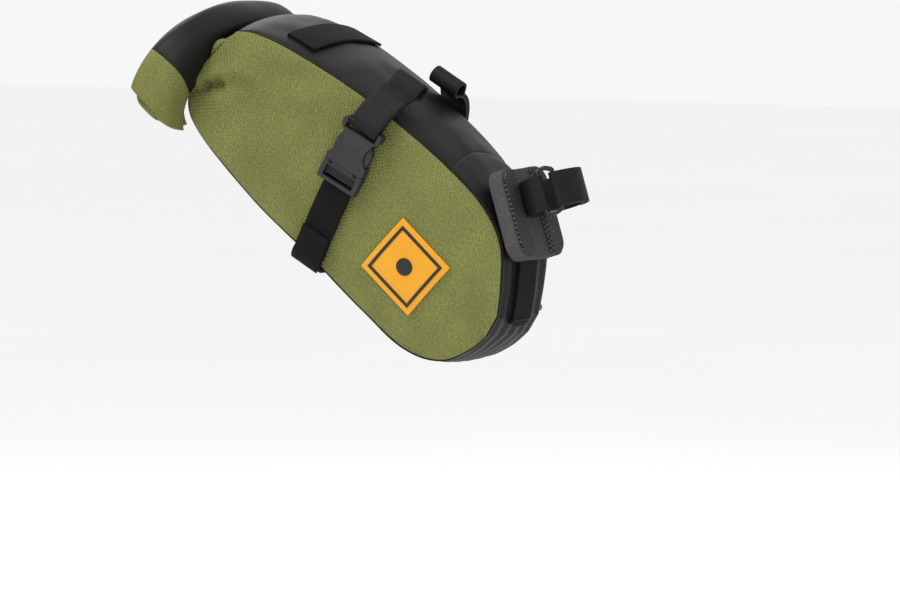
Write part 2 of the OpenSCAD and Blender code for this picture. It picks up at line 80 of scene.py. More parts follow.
# ---------------------------------------------------------------- outline of the body
TOP_SEAM = [(-198, -28), (-188, -22), (-166, -17), (-124, -13), (-84, -13),
            (-46, -16), (-18, -22), (2, -34), (15, -54), (23, -71)]
BOTTOM_SEAM = [(-200, -38), (-202, -63), (-189, -90), (-142, -104.5), (-90, -111.5),
               (-48, -118), (-14, -121), (8, -113), (19, -97), (23.5, -83)]
STEPS = 10
NOSE_HALF = 25
TAPER = 0.12
SWELL = 5
CROWN = [(-198, 8), (-120, 7), (-60, 6), (-18, 3), (-11, 1), (24, 1)]      # of the top and nose, along u
CROWN_UNDER = [(-200, 3), (-18, 3), (-11, 1), (24, 1)]
PANEL_T = 1.2
STRAP_U = -97
STRAP_LEAN = math.tan(math.radians(5))
WEB_W = 20
WEB_T = 1.6
JOINT_W = -50.5
BUCKLE_Y = 48.644
PATCH_AT = (-37, -78)
CROSS_U = -168


def smooth_path(points, steps):
    """Even curve through the points."""
    out = []
    for i in range(len(points) - 1):
        a, b, c, d = (Vector(points[max(0, min(len(points) - 1, j))]) for j in range(i - 1, i + 3))
        for j in range(steps):
            t = j / steps
            out.append(0.5 * (2 * b + (c - a) * t + (2 * a - 5 * b + 4 * c - d) * t * t
                              + (3 * b - a - 3 * c + d) * t ** 3))
    return out + [Vector(points[-1])]


def look_up(table, x):
    """Value of a table of (x, value) pairs at x."""
    if x <= table[0][0]:
        return table[0][1]
    for (x0, v0), (x1, v1) in zip(table, table[1:]):
        if x0 <= x <= x1:
            return v0 + (v1 - v0) * (x - x0) / (x1 - x0)
    return table[-1][1]


TOP = smooth_path(TOP_SEAM, STEPS)
BOTTOM = smooth_path(BOTTOM_SEAM, STEPS)
LAST = len(TOP) - 1
TOP_LINE = [tuple(p) for p in TOP]
UNDER_LINE = [tuple(p) for p in BOTTOM[2 * STEPS:-2 * STEPS]]      # without the turns at its two ends
ACROSS = [0, 0.012, 0.035] + [0.07 + 0.86 * i / 38 for i in range(39)] + [0.965, 0.988, 1]
SPREAD = [-1, -0.975, -0.93] + [-0.87 + 1.74 * i / 17 for i in range(18)] + [0.93, 0.975, 1]


def half_width(u):
    """Half of the body's width at u, along its seams."""
    return NOSE_HALF + TAPER * (23 - u)


def swell_at(k):
    """How far the middle of a side panel stands out at row k of the outline."""
    return SWELL * math.sin(math.pi * min(1, (LAST - k) / LAST * 1.25) * 0.9)


def flank_y(u, w):
    """How far out the side of the bag stands at a place."""
    top = look_up(TOP_LINE, u)
    bottom = look_up(UNDER_LINE, u)
    f = max(0, min(1, (top - w) / (top - bottom)))
    return half_width(u) + SWELL * math.sin(math.pi * f)


def strap_centre(w):
    """Where the leaning rail strap's middle line is at height w."""
    return STRAP_U - (w + 45) * STRAP_LEAN


def outline_chain():
    """Points, outward normals and crowns of the strip that runs round the body, tail to nose to tail."""
    points = list(TOP)
    points += [TOP[LAST].lerp(BOTTOM[LAST], f) for f in ACROSS[1:-1]]
    points += list(reversed(BOTTOM))
    rows, run = [], 0
    for i, p in enumerate(points):
        ahead, behind = points[min(i + 1, len(points) - 1)], points[max(i - 1, 0)]
        d = (ahead - behind).normalized()
        if i:
            run += (p - points[i - 1]).length
        lower = i > LAST + len(ACROSS) - 2
        crown = look_up(CROWN_UNDER if lower else CROWN, p.x)
        rows.append((p, Vector((-d.y, d.x)), crown, run))
    return rows


CHAIN = outline_chain()
ARCH_ROW = 5 * STEPS            # the seam between the top panel and the nose
UNDER_ROW = len(CHAIN) - 1 - 6 * STEPS
ARCH_RISE, ARCH_SPAN = 2.2, 7   # rows that its middle arches by, and over how many it fades
GROOVE = 0.9                    # depth of the stitched groove, and its width in rows


def chain_point(i, g, lift=0):
    """Point on the strip round the body: i along it, g from -1 to 1 across it."""
    arch = -ARCH_RISE * math.exp(-((i - ARCH_ROW) / ARCH_SPAN) ** 2) * (1 - g * g)
    at = max(0, min(len(CHAIN) - 1.001, i + arch))
    low, share = int(at), at - int(at)
    (p, n, crown, _), (p2, n2, crown2, _) = CHAIN[low], CHAIN[low + 1]
    p, n, crown = p.lerp(p2, share), n.lerp(n2, share).normalized(), crown + (crown2 - crown) * share
    groove = GROOVE * math.exp(-((i - ARCH_ROW) / GROOVE) ** 2)
    c = p + n * (crown * (1 - g * g) + lift - groove)
    return Vector((c.x, g * half_width(p.x), c.y))


# ---------------------------------------------------------------- soft relief
def bump_line(p, a, b, width, height):
    """Height of a soft ridge, or of a groove where it is negative, along the line from a to b."""
    a, b = Vector(a), Vector(b)
    t = max(0, min(1, (p - a).dot(b - a) / (b - a).length_squared))
    return height * math.exp(-((p - a.lerp(b, t)).length / width) ** 2)


# Folds of the side panels: start, end, width and height, in the bag frame
FLANK_FOLDS = [
    ((-192.5, -67), (-187.5, -61), 2.5, -7.5),  # the deep pinch under the tail's corner
    ((-198.5, -76), (-192.5, -67), 2.0, -4.2),  # its mouth at the rim
    ((-187, -60), (-177, -51), 5.0, -1.6),      # and how it runs out
    ((-197, -64), (-182, -44), 6.0, 2.4),       # full fold above the pinch
    ((-193, -85), (-180, -69), 7.0, 2.2),       # full fold below it
    ((-182, -40), (-150, -28), 6.0, -1.3),
    ((-172, -36), (-140, -62), 12.0, 1.4),
    ((-168, -70), (-140, -86), 10.0, -1.4),
    ((-150, -50), (-124, -40), 9.0, -0.9),
    ((-66, -30), (-40, -36), 10.0, 0.8),
    ((-84, -98), (-66, -108), 8.0, -1.0),
    ((-12, -44), (4, -70), 9.0, 0.9),
]


def quiet_near(p):
    """Nought under the webbing and the patch, where the fabric is held flat, and one away from them."""
    strap = max(0, 1 - abs(p.x - strap_centre(p.y)) / 17)
    patch = max(0, 1 - ((p - Vector(PATCH_AT)).length / 34) ** 4)
    return max(0, 1 - max(strap * 1.6, patch))


def flank_relief(co, side):
    """How far a side panel's folds and sag stand out at a place."""
    p = Vector((co.x, co.z))
    folds = sum(bump_line(p, *fold) for fold in FLANK_FOLDS)
    sag = (1.5 * noise.noise(Vector((co.x / 31, side * 7, co.z / 27)))
           + 0.5 * noise.noise(Vector((co.x / 12, side * 3 + 2, co.z / 14))))
    held = max(0, 1 - abs(p.x - strap_centre(p.y)) / 13)
    return (folds + sag) * quiet_near(p) - 1.1 * held ** 0.7


TAIL_FROM, TAIL_FADE = -160, 28
BULGE, BULGE_W, BULGE_SPREAD = 6.6, -78, 27
BULGE_Y = 50                    # out here the tail bulges fully


def tail_push(co):
    """How far the stuffed corners of the tail stand out behind the outline."""
    near = max(0, min(1, (TAIL_FROM - co.x) / TAIL_FADE))
    return BULGE * near * math.exp(-((co.z - BULGE_W) / BULGE_SPREAD) ** 2) * min(1, abs(co.y) / BULGE_Y) ** 3


def strip_relief(co, run):
    """How far the sag of the black panels and the nose's creases stand out at a place."""
    y = co.y
    held = max(0, 1 - abs(co.x - CROSS_U) / 16) if co.z > -40 else 0
    cross = ((1 - held) * 1.2 * noise.noise(Vector((y / 26, run / 19, 4)))
             + 0.5 * noise.noise(Vector((y / 9, run / 30, 9))))
    nose = max(0, min(1, (co.x + 14) / 20)) * max(0, min(1, (-26 - co.z) / 20))
    creases = 0.7 * nose * math.sin(y * 0.62 + 1.3 * noise.noise(Vector((y / 15, run / 22, 1))))
    return cross * (1 - 0.6 * nose) + creases


# ---------------------------------------------------------------- making meshes
def deselect():
    """Leaves edit mode and selects nothing."""
    if bpy.context.object and bpy.context.object.mode != "OBJECT":
        bpy.ops.object.mode_set(mode="OBJECT")
    bpy.ops.object.select_all(action="DESELECT")


def only(piece):
    """Makes a piece the only selected one."""
    deselect()
    piece.select_set(True)
    bpy.context.view_layer.objects.active = piece
    return piece


def link(name, mesh):
    """Puts new mesh or curve data in the scene under a name."""
    piece = bpy.data.objects.new(name, mesh)
    bpy.context.scene.collection.objects.link(piece)
    return piece


def modify(piece, kind, **settings):
    """Adds a modifier with its settings and applies it."""
    only(piece)
    modifier = piece.modifiers.new(kind.title(), kind)
    for key, value in settings.items():
        setattr(modifier, key, value)
    bpy.ops.object.modifier_apply(modifier=modifier.name)
    return piece


def smooth_shade(piece, angle=None):
    """Smooth shading, with edges sharper than the angle kept crisp."""
    only(piece)
    if angle is None:
        bpy.ops.object.shade_smooth()
    else:
        bpy.ops.object.shade_smooth_by_angle(angle=math.radians(angle))
    return piece


def finish(piece, matrix, body, material, replaces=()):
    """Puts a piece made in millimetres in its place, gives it its one material, hangs it on its body and
    hides the parts that it replaces.
    """
    piece.data.transform(matrix)
    if matrix.determinant() < 0:
        piece.data.flip_normals()
    piece.data.materials.clear()
    piece.data.materials.append(material)
    for polygon in piece.data.polygons:
        polygon.material_index = 0
    piece.data.update()
    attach(piece, body)
    if replaces:
        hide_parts(*replaces)
    return piece


def lofted(name, rows, closed=False):
    """Sheet through rows of points, with its own cloth map in metres."""
    mesh = bmesh.new()
    grid = [[mesh.verts.new(p) for p in row] for row in rows]
    layer = mesh.loops.layers.uv.new("cloth")
    n, m = len(rows), len(rows[0])
    along, across = [0], [0]
    middle = m // 2
    for i in range(1, n + 1):
        along.append(along[-1] + (Vector(rows[i % n][middle]) - Vector(rows[i - 1][middle])).length)
    halfway = rows[n // 2]
    for j in range(1, m):
        across.append(across[-1] + (Vector(halfway[j]) - Vector(halfway[j - 1])).length)
    for i in range(n if closed else n - 1):
        for j in range(m - 1):
            corners = [(i, j), (i, j + 1), (i + 1, j + 1), (i + 1, j)]
            face = mesh.faces.new([grid[a % n][b] for a, b in corners])
            face.smooth = True
            for loop, (a, b) in zip(face.loops, corners):
                loop[layer].uv = (across[b] * MM, along[a] * MM)
    data = bpy.data.meshes.new(name)
    mesh.to_mesh(data)
    mesh.free()
    return link(name, data)


def band(name, centres, acrosses, width, thickness, lanes=6, closed=False, bevel=0.3):
    """Strap along a path: its middle line, its crosswise directions, and its two sizes."""
    rows = []
    for c, a in zip(centres, acrosses):
        rows.append([Vector(c) + Vector(a) * width * (j / lanes - 0.5) for j in range(lanes + 1)])
    piece = lofted(name, rows, closed)
    modify(piece, "SOLIDIFY", thickness=thickness, offset=0, use_even_offset=True)
    modify(piece, "BEVEL", width=bevel, segments=2, limit_method="ANGLE", angle_limit=math.radians(50))
    return smooth_shade(piece, 40)


def wire(name, paths, radius, closed=False, sides=2):
    """Round thread or bar along each path."""
    curve = bpy.data.curves.new(name, "CURVE")
    curve.dimensions = "3D"
    curve.bevel_depth = radius
    curve.bevel_resolution = sides
    curve.use_fill_caps = True
    for path in paths:
        spline = curve.splines.new("POLY")
        spline.points.add(len(path) - 1)
        for point, co in zip(spline.points, path):
            point.co = (*co, 1)
        spline.use_cyclic_u = closed
    only(link(name, curve))
    bpy.ops.object.convert(target="MESH")
    return smooth_shade(bpy.context.object)


def block(name, lo, hi):
    """Cube primitive stretched between two corners."""
    deselect()
    lo, hi = Vector(lo), Vector(hi)
    bpy.ops.mesh.primitive_cube_add(size=1)
    piece = bpy.context.object
    piece.name = name
    piece.data.transform(Matrix.Translation((lo + hi) / 2) @ Matrix.Diagonal((*(hi - lo), 1)))
    return piece


def rod(name, a, b, radius, sides=48):
    """Cylinder primitive from a to b."""
    deselect()
    a, b = Vector(a), Vector(b)
    bpy.ops.mesh.primitive_cylinder_add(radius=radius, depth=(b - a).length, vertices=sides)
    piece = bpy.context.object
    piece.name = name
    turn = (b - a).to_track_quat("Z", "Y").to_matrix().to_4x4()
    piece.data.transform(Matrix.Translation((a + b) / 2) @ turn)
    return piece


def plate(name, outline, y0, y1):
    """Flat outline in x and z, filled and pulled to its thickness in edit mode."""
    deselect()
    bpy.ops.mesh.primitive_circle_add(vertices=len(outline), fill_type="NGON")
    piece = bpy.context.object
    piece.name = name
    for vertex, (x, z) in zip(piece.data.vertices, outline):
        vertex.co = (x, y0, z)
    bpy.ops.object.mode_set(mode="EDIT")
    bpy.ops.mesh.select_all(action="SELECT")
    bpy.ops.mesh.extrude_region_move(TRANSFORM_OT_translate={"value": (0, y1 - y0, 0)})
    bpy.ops.mesh.select_all(action="SELECT")
    bpy.ops.mesh.normals_make_consistent(inside=False)
    bpy.ops.object.mode_set(mode="OBJECT")
    return piece


def combine(piece, tools, operation="DIFFERENCE"):
    """Cuts or joins other solids with a piece, and removes them."""
    for tool in tools:
        modify(piece, "BOOLEAN", object=tool, operation=operation, solver="EXACT")
        bpy.data.objects.remove(tool)
    return piece


def soften(piece, width, segments=3, angle=30):
    """Rounds a moulded piece's edges."""
    modify(piece, "BEVEL", width=width, segments=segments, limit_method="ANGLE",
           angle_limit=math.radians(angle))
    return smooth_shade(piece, 40)


def join(name, pieces):
    """Makes several pieces one mesh, under a name."""
    deselect()
    for piece in pieces:
        piece.select_set(True)
    bpy.context.view_layer.objects.active = pieces[0]
    bpy.ops.object.join()
    pieces[0].name = name
    return pieces[0]


def copy_of(name, piece):
    """Copy of a piece with its own mesh."""
    return link(name, piece.data.copy())


# ---------------------------------------------------------------- materials
def add_node(tree, kind, inputs=None, **settings):
    """Adds a shader node with its settings, values and links."""
    item = tree.nodes.new("ShaderNode" + kind)
    for key, value in settings.items():
        setattr(item, key, value)
    for key, value in (inputs or {}).items():
        if isinstance(value, bpy.types.NodeSocket):
            tree.links.new(value, item.inputs[key])
        else:
            item.inputs[key].default_value = value
    return item


def surface(name, roughness, specular=0.5, **constants):
    """Empty material with its shader, whose whole-surface numbers sit on its own sockets."""
    material = bpy.data.materials.new(name)
    material.use_nodes = True
    tree = material.node_tree
    shader = tree.nodes["Principled BSDF"]
    shader.inputs["Roughness"].default_value = roughness
    shader.inputs["Specular IOR Level"].default_value = specular
    for key, value in constants.items():
        shader.inputs[key.replace("_", " ")].default_value = value
    return material, tree, shader


def mix_colour(tree, factor, a, b):
    """Colour between a and b, each a colour or a socket."""
    item = add_node(tree, "Mix", {0: factor}, data_type="RGBA")
    for socket, value in ((item.inputs[6], a), (item.inputs[7], b)):
        if isinstance(value, bpy.types.NodeSocket):
            tree.links.new(value, socket)
        else:
            socket.default_value = (*value, 1)
    return item.outputs[2]


WAVE = math.pi / 10             # wave texture scale for a period of one metre


def grains(size):
    """Texture scale for grains or clouds of this many millimetres."""
    return 1 / (size * MM)


def olive_canvas(settings):
    # Heavy woven polyester canvas, plain weave: matt, with each thread catching the light. The weave is drawn
    # as coarse as it needs to show
    material, tree, shader = surface("olive_woven_canvas", 0.85, 0.15)
    pitch = settings.thread_pitch
    cloth = add_node(tree, "UVMap", uv_map="cloth").outputs["UV"]
    warp = add_node(tree, "TexWave", {"Vector": cloth, "Scale": WAVE / pitch}, bands_direction="X")
    weft = add_node(tree, "TexWave", {"Vector": cloth, "Scale": WAVE / pitch}, bands_direction="Y")
    over = add_node(tree, "TexChecker", {"Vector": cloth, "Scale": 1 / pitch})
    height = add_node(tree, "Mix", {0: over.outputs["Fac"], 2: warp.outputs["Fac"],
                                    3: weft.outputs["Fac"]}, data_type="FLOAT").outputs[0]
    fleck = add_node(tree, "TexNoise", {"Vector": cloth, "Scale": 0.8 / pitch, "Detail": 2.0})
    cloud = add_node(tree, "TexNoise", {"Vector": cloth, "Scale": grains(35.7), "Detail": 3.0})
    threads = mix_colour(tree, height, settings.olive_shadow, settings.olive)
    flecked = mix_colour(tree, fleck.outputs["Fac"], threads, settings.olive_light)
    soft = add_node(tree, "MapRange", {"Value": cloud.outputs["Fac"], "From Min": 0.35,
                                       "From Max": 0.7, "To Min": 0.0, "To Max": 0.28})
    tree.links.new(mix_colour(tree, soft.outputs[0], flecked, settings.olive_shadow),
                   shader.inputs["Base Color"])
    bump = add_node(tree, "Bump", {"Height": height, "Strength": 0.9, "Distance": 0.5 * MM})
    tree.links.new(bump.outputs[0], shader.inputs["Normal"])
    return material


def coated_cloth(settings):
    # Nylon laminated with a smooth dark film: satin, with a faint weave pressed through it
    material, tree, shader = surface("coated_nylon", 0.42, 0.16)
    cloth = add_node(tree, "UVMap", uv_map="cloth").outputs["UV"]
    grain = add_node(tree, "TexNoise", {"Vector": cloth, "Scale": grains(1.111), "Detail": 4.0})
    rub = add_node(tree, "TexNoise", {"Vector": cloth, "Scale": grains(22.2), "Detail": 5.0,
                                      "Roughness": 0.6})
    weave = add_node(tree, "TexWave", {"Vector": cloth, "Scale": WAVE / (0.9 * MM)},
                     bands_direction="DIAGONAL")
    colour = mix_colour(tree, rub.outputs["Fac"], settings.coating, hex_colour("#161618"))
    tree.links.new(colour, shader.inputs["Base Color"])
    rough = add_node(tree, "MapRange", {"Value": rub.outputs["Fac"], "To Min": 0.36, "To Max": 0.6})
    tree.links.new(rough.outputs[0], shader.inputs["Roughness"])
    mixed = add_node(tree, "Math", {0: grain.outputs["Fac"], 1: weave.outputs["Fac"]}, operation="ADD")
    bump = add_node(tree, "Bump", {"Height": mixed.outputs[0], "Strength": 0.12, "Distance": 0.15 * MM})
    tree.links.new(bump.outputs[0], shader.inputs["Normal"])
    return material


def webbing(settings):
    # Woven nylon webbing, herringbone: dull black with raised diagonal ribs
    material, tree, shader = surface("nylon_webbing", 0.78, 0.12)
    cloth = add_node(tree, "UVMap", uv_map="cloth").outputs["UV"]
    place = add_node(tree, "SeparateXYZ", {0: cloth})
    zigzag = add_node(tree, "Math", {0: place.outputs[0], 1: 2.2 * MM}, operation="PINGPONG")
    slant = add_node(tree, "Math", {0: place.outputs[1], 1: zigzag.outputs[0]}, operation="ADD")
    line = add_node(tree, "CombineXYZ", {0: slant.outputs[0]})
    rib = add_node(tree, "TexWave", {"Vector": line.outputs[0], "Scale": WAVE / (1.3 * MM)},
                   bands_direction="X")
    fibre = add_node(tree, "TexNoise", {"Vector": cloth, "Scale": grains(0.625), "Detail": 2.0})
    base = mix_colour(tree, rib.outputs["Fac"], hex_colour("#050506"), settings.webbing)
    tree.links.new(mix_colour(tree, fibre.outputs["Fac"], base, hex_colour("#0e0e0f")),
                   shader.inputs["Base Color"])
    bump = add_node(tree, "Bump", {"Height": rib.outputs["Fac"], "Strength": 0.9, "Distance": 0.35 * MM})
    tree.links.new(bump.outputs[0], shader.inputs["Normal"])
    return material


def strap_cloth(settings):
    # Rubber-coated strap fabric: charcoal, matt, with a fine pebble
    material, tree, shader = surface("rubberised_strap", 0.6, 0.14)
    cloth = add_node(tree, "UVMap", uv_map="cloth").outputs["UV"]
    pebble = add_node(tree, "TexVoronoi", {"Vector": cloth, "Scale": grains(0.769)}, feature="SMOOTH_F1")
    rub = add_node(tree, "TexNoise", {"Vector": cloth, "Scale": grains(8.33), "Detail": 6.0,
                                      "Roughness": 0.65})
    colour = mix_colour(tree, rub.outputs["Fac"], hex_colour("#0d0d0e"), settings.strap)
    tree.links.new(colour, shader.inputs["Base Color"])
    bump = add_node(tree, "Bump", {"Height": pebble.outputs["Distance"], "Strength": 0.3,
                                   "Distance": 0.15 * MM})
    tree.links.new(bump.outputs[0], shader.inputs["Normal"])
    return material


def moulded_acetal(name, colour, roughness):
    # Injection-moulded acetal: greasy half gloss over a spark-eroded grain
    material, tree, shader = surface(name, roughness, 0.4)
    place = add_node(tree, "TexCoord").outputs["Object"]
    grain = add_node(tree, "TexNoise", {"Vector": place, "Scale": grains(0.6667), "Detail": 3.0})
    handling = add_node(tree, "TexNoise", {"Vector": place, "Scale": grains(7.69), "Detail": 4.0})
    tree.links.new(mix_colour(tree, handling.outputs["Fac"], colour, tuple(1.5 * c for c in colour)),
                   shader.inputs["Base Color"])
    rough = add_node(tree, "MapRange", {"Value": handling.outputs["Fac"], "To Min": roughness - 0.08,
                                        "To Max": roughness + 0.12})
    tree.links.new(rough.outputs[0], shader.inputs["Roughness"])
    bump = add_node(tree, "Bump", {"Height": grain.outputs["Fac"], "Strength": 0.2, "Distance": 0.06 * MM})
    tree.links.new(bump.outputs[0], shader.inputs["Normal"])
    return material


def pad_foam_skin():
    # Closed-cell foam, cut edge: grey, dry, with open pinholes
    material, tree, shader = surface("closed_cell_foam", 0.95, 0.1)
    place = add_node(tree, "TexCoord").outputs["Object"]
    cells = add_node(tree, "TexVoronoi", {"Vector": place, "Scale": grains(0.6667)})
    cloud = add_node(tree, "TexNoise", {"Vector": place, "Scale": grains(3.333), "Detail": 4.0})
    base = mix_colour(tree, cells.outputs["Distance"], hex_colour("#2b2a2a"), hex_colour("#5a5858"))
    tree.links.new(mix_colour(tree, cloud.outputs["Fac"], base, hex_colour("#464545")),
                   shader.inputs["Base Color"])
    bump = add_node(tree, "Bump", {"Height": cells.outputs["Distance"], "Strength": 0.5,
                                   "Distance": 0.2 * MM})
    tree.links.new(bump.outputs[0], shader.inputs["Normal"])
    return material


def spacer_mesh():
    # Knitted spacer mesh: black, with staggered round holes and a pale glint of yarn in each
    material, tree, shader = surface("knitted_spacer_mesh", 0.8, 0.35)
    place = add_node(tree, "TexCoord").outputs["Object"]
    axes = add_node(tree, "SeparateXYZ", {0: place})
    face = add_node(tree, "CombineXYZ", {0: axes.outputs[1], 1: axes.outputs[2]})
    turn = add_node(tree, "Mapping", {"Vector": face.outputs[0], "Rotation": (0, 0, math.radians(45))})
    grid = add_node(tree, "TexVoronoi", {"Vector": turn.outputs[0], "Scale": grains(1.9),
                                         "Randomness": 0.0}, voronoi_dimensions="2D")
    holes = add_node(tree, "MapRange", {"Value": grid.outputs["Distance"], "From Min": 0.22,
                                        "From Max": 0.42})
    yarn = add_node(tree, "TexNoise", {"Vector": place, "Scale": grains(0.5556), "Detail": 2.0})
    base = mix_colour(tree, holes.outputs[0], hex_colour("#6a6764"), hex_colour("#0c0c0c"))
    tree.links.new(mix_colour(tree, yarn.outputs["Fac"], base, hex_colour("#141414")),
                   shader.inputs["Base Color"])
    bump = add_node(tree, "Bump", {"Height": holes.outputs[0], "Strength": 0.8, "Distance": 0.5 * MM})
    tree.links.new(bump.outputs[0], shader.inputs["Normal"])
    return material


def sewing_thread():
    # Bonded polyester thread: black, twisted, slightly shiny
    material, tree, shader = surface("bonded_thread", 0.45, 0.5)
    place = add_node(tree, "TexCoord").outputs["Object"]
    twist = add_node(tree, "TexWave", {"Vector": place, "Scale": WAVE / (0.5 * MM)},
                     bands_direction="DIAGONAL")
    tree.links.new(mix_colour(tree, twist.outputs["Fac"], hex_colour("#0a0a0b"), hex_colour("#1d1d20")),
                   shader.inputs["Base Color"])
    bump = add_node(tree, "Bump", {"Height": twist.outputs["Fac"], "Strength": 0.5, "Distance": 0.1 * MM})
    tree.links.new(bump.outputs[0], shader.inputs["Normal"])
    return material


def soft_patch(name, colour, dark):
    # Soft moulded rubber badge: even colour, eggshell gloss, fine pebble
    material, tree, shader = surface(name, 0.5, 0.45)
    place = add_node(tree, "TexCoord").outputs["Object"]
    pebble = add_node(tree, "TexNoise", {"Vector": place, "Scale": grains(0.8333), "Detail": 2.0})
    worn = add_node(tree, "TexNoise", {"Vector": place, "Scale": grains(11.11), "Detail": 4.0})
    tree.links.new(mix_colour(tree, worn.outputs["Fac"], colour, dark), shader.inputs["Base Color"])
    bump = add_node(tree, "Bump", {"Height": pebble.outputs["Fac"], "Strength": 0.25, "Distance": 0.08 * MM})
    tree.links.new(bump.outputs[0], shader.inputs["Normal"])
    return material


def fuzzy_tape():
    # Hook-and-loop tape: black pile with no shine
    material, tree, shader = surface("hook_and_loop_pile", 1.0, 0.1)
    place = add_node(tree, "TexCoord").outputs["Object"]
    pile = add_node(tree, "TexNoise", {"Vector": place, "Scale": grains(0.7143), "Detail": 4.0,
                                       "Roughness": 0.7})
    tree.links.new(mix_colour(tree, pile.outputs["Fac"], hex_colour("#050505"), hex_colour("#2a2a2c")),
                   shader.inputs["Base Color"])
    bump = add_node(tree, "Bump", {"Height": pile.outputs["Fac"], "Strength": 0.9, "Distance": 0.4 * MM})
    tree.links.new(bump.outputs[0], shader.inputs["Normal"])
    return material


def stiffener_board():
    # Extruded polyethylene board: pale grey, waxy, with faint lines along it
    material, tree, shader = surface("polyethylene_board", 0.5, 0.4)
    place = add_node(tree, "TexCoord").outputs["Object"]
    lines = add_node(tree, "TexWave", {"Vector": place, "Scale": WAVE / (3 * MM)}, bands_direction="Y")
    tree.links.new(mix_colour(tree, lines.outputs["Fac"], hex_colour("#55565a"), hex_colour("#66676b")),
                   shader.inputs["Base Color"])
    return material


def materials(settings):
    """The finishes, made once and then shared."""
    found = bpy.data.materials.get("olive_woven_canvas")
    if not found:
        olive_canvas(settings)
        coated_cloth(settings)
        webbing(settings)
        strap_cloth(settings)
        moulded_acetal("moulded_acetal", hex_colour("#1d1d21"), 0.4)
        moulded_acetal("glossy_acetal_ring", hex_colour("#0c0c0e"), 0.22)
        pad_foam_skin()
        spacer_mesh()
        sewing_thread()
        soft_patch("yellow_rubber_badge", settings.patch, hex_colour("#cd8a05"))
        soft_patch("dark_rubber_inlay", hex_colour("#0c0b0b"), hex_colour("#161413"))
        fuzzy_tape()
        stiffener_board()
    return bpy.data.materials


# ---------------------------------------------------------------- the body
RIGHT, LEFT, TOP_PANEL, NOSE, UNDER = range(5)
SEAM_DIP = 1.3                  # how far the seams are pulled in


def body_shell():
    """Closed shell of the stuffed bag, each face marked with the panel that it belongs to."""
    mesh = bmesh.new()
    cloth = mesh.loops.layers.uv.new("cloth")
    rows = len(CHAIN)
    seam = {}
    for i, (p, n, _, _) in enumerate(CHAIN):
        for side in (-1, 1):
            q = p - n * SEAM_DIP
            seam[i, side] = mesh.verts.new((q.x, side * (half_width(p.x) - SEAM_DIP), q.y))
    relief = {}
    strip = {}
    for i in range(rows):
        for j, g in enumerate(SPREAD[1:-1], 1):
            v = strip[i, j] = mesh.verts.new(chain_point(i, g))
            edge = min(1, (1 - abs(g)) * 5)
            relief[v] = strip_relief(v.co, CHAIN[i][3]) * edge
        strip[i, 0], strip[i, len(SPREAD) - 1] = seam[i, -1], seam[i, 1]
    for i in range(rows - 1):
        panel = TOP_PANEL if i < ARCH_ROW else NOSE if i < UNDER_ROW else UNDER
        for j in range(len(SPREAD) - 1):
            corners = [(i, j), (i + 1, j), (i + 1, j + 1), (i, j + 1)]
            face = mesh.faces.new([strip[c] for c in corners])
            face.material_index = panel
            for loop, (a, b) in zip(face.loops, corners):
                loop[cloth].uv = (SPREAD[b] * half_width(CHAIN[a][0].x) * MM, CHAIN[a][3] * MM)
    for side, panel in ((-1, RIGHT), (1, LEFT)):
        flank = {}
        for k in range(LAST + 1):
            for j, f in enumerate(ACROSS):
                if j in (0, len(ACROSS) - 1):
                    flank[k, j] = seam[k if j == 0 else rows - 1 - k, side]
                elif k == LAST:
                    flank[k, j] = seam[LAST + j, side]
                else:
                    p = TOP[k].lerp(BOTTOM[k], f)
                    y = half_width(p.x) + swell_at(k) * math.sin(math.pi * f)
                    v = flank[k, j] = mesh.verts.new((p.x, side * y, p.y))
                    edge = min(1, f * 14, (1 - f) * 14, (k + 2) / 4, (LAST - k) / 4)
                    relief[v] = flank_relief(Vector((p.x, 0, p.y)), side) * edge
        for k in range(LAST):
            for j in range(len(ACROSS) - 1):
                corners = [(k, j), (k, j + 1), (k + 1, j + 1), (k + 1, j)]
                if side > 0:
                    corners.reverse()
                ring = [flank[c] for c in corners]
                if len(set(ring)) < 4:
                    continue
                face = mesh.faces.new(ring)
                face.material_index = panel
                for loop, (a, b) in zip(face.loops, corners):
                    p = TOP[a].lerp(BOTTOM[a], ACROSS[b])
                    loop[cloth].uv = (p.x * MM, p.y * MM)
    bmesh.ops.recalc_face_normals(mesh, faces=mesh.faces)
    mesh.normal_update()
    pushes = {v: v.normal * r for v, r in relief.items()}
    for v in mesh.verts:
        v.co.x -= tail_push(v.co)
    for v, push in pushes.items():
        v.co += push
    for face in mesh.faces:
        face.smooth = True
    data = bpy.data.meshes.new("body_shell")
    mesh.to_mesh(data)
    mesh.free()
    return link("body_shell", data)


def panel_from(shell, name, index, thickness):
    """One sewn panel taken off the shell, thickened inwards."""
    piece = copy_of(name, shell)
    mesh = bmesh.new()
    mesh.from_mesh(piece.data)
    others = [f for f in mesh.faces if f.material_index != index]
    bmesh.ops.delete(mesh, geom=others, context="FACES")
    mesh.to_mesh(piece.data)
    mesh.free()
    modify(piece, "SOLIDIFY", thickness=thickness, offset=-1)
    return piece


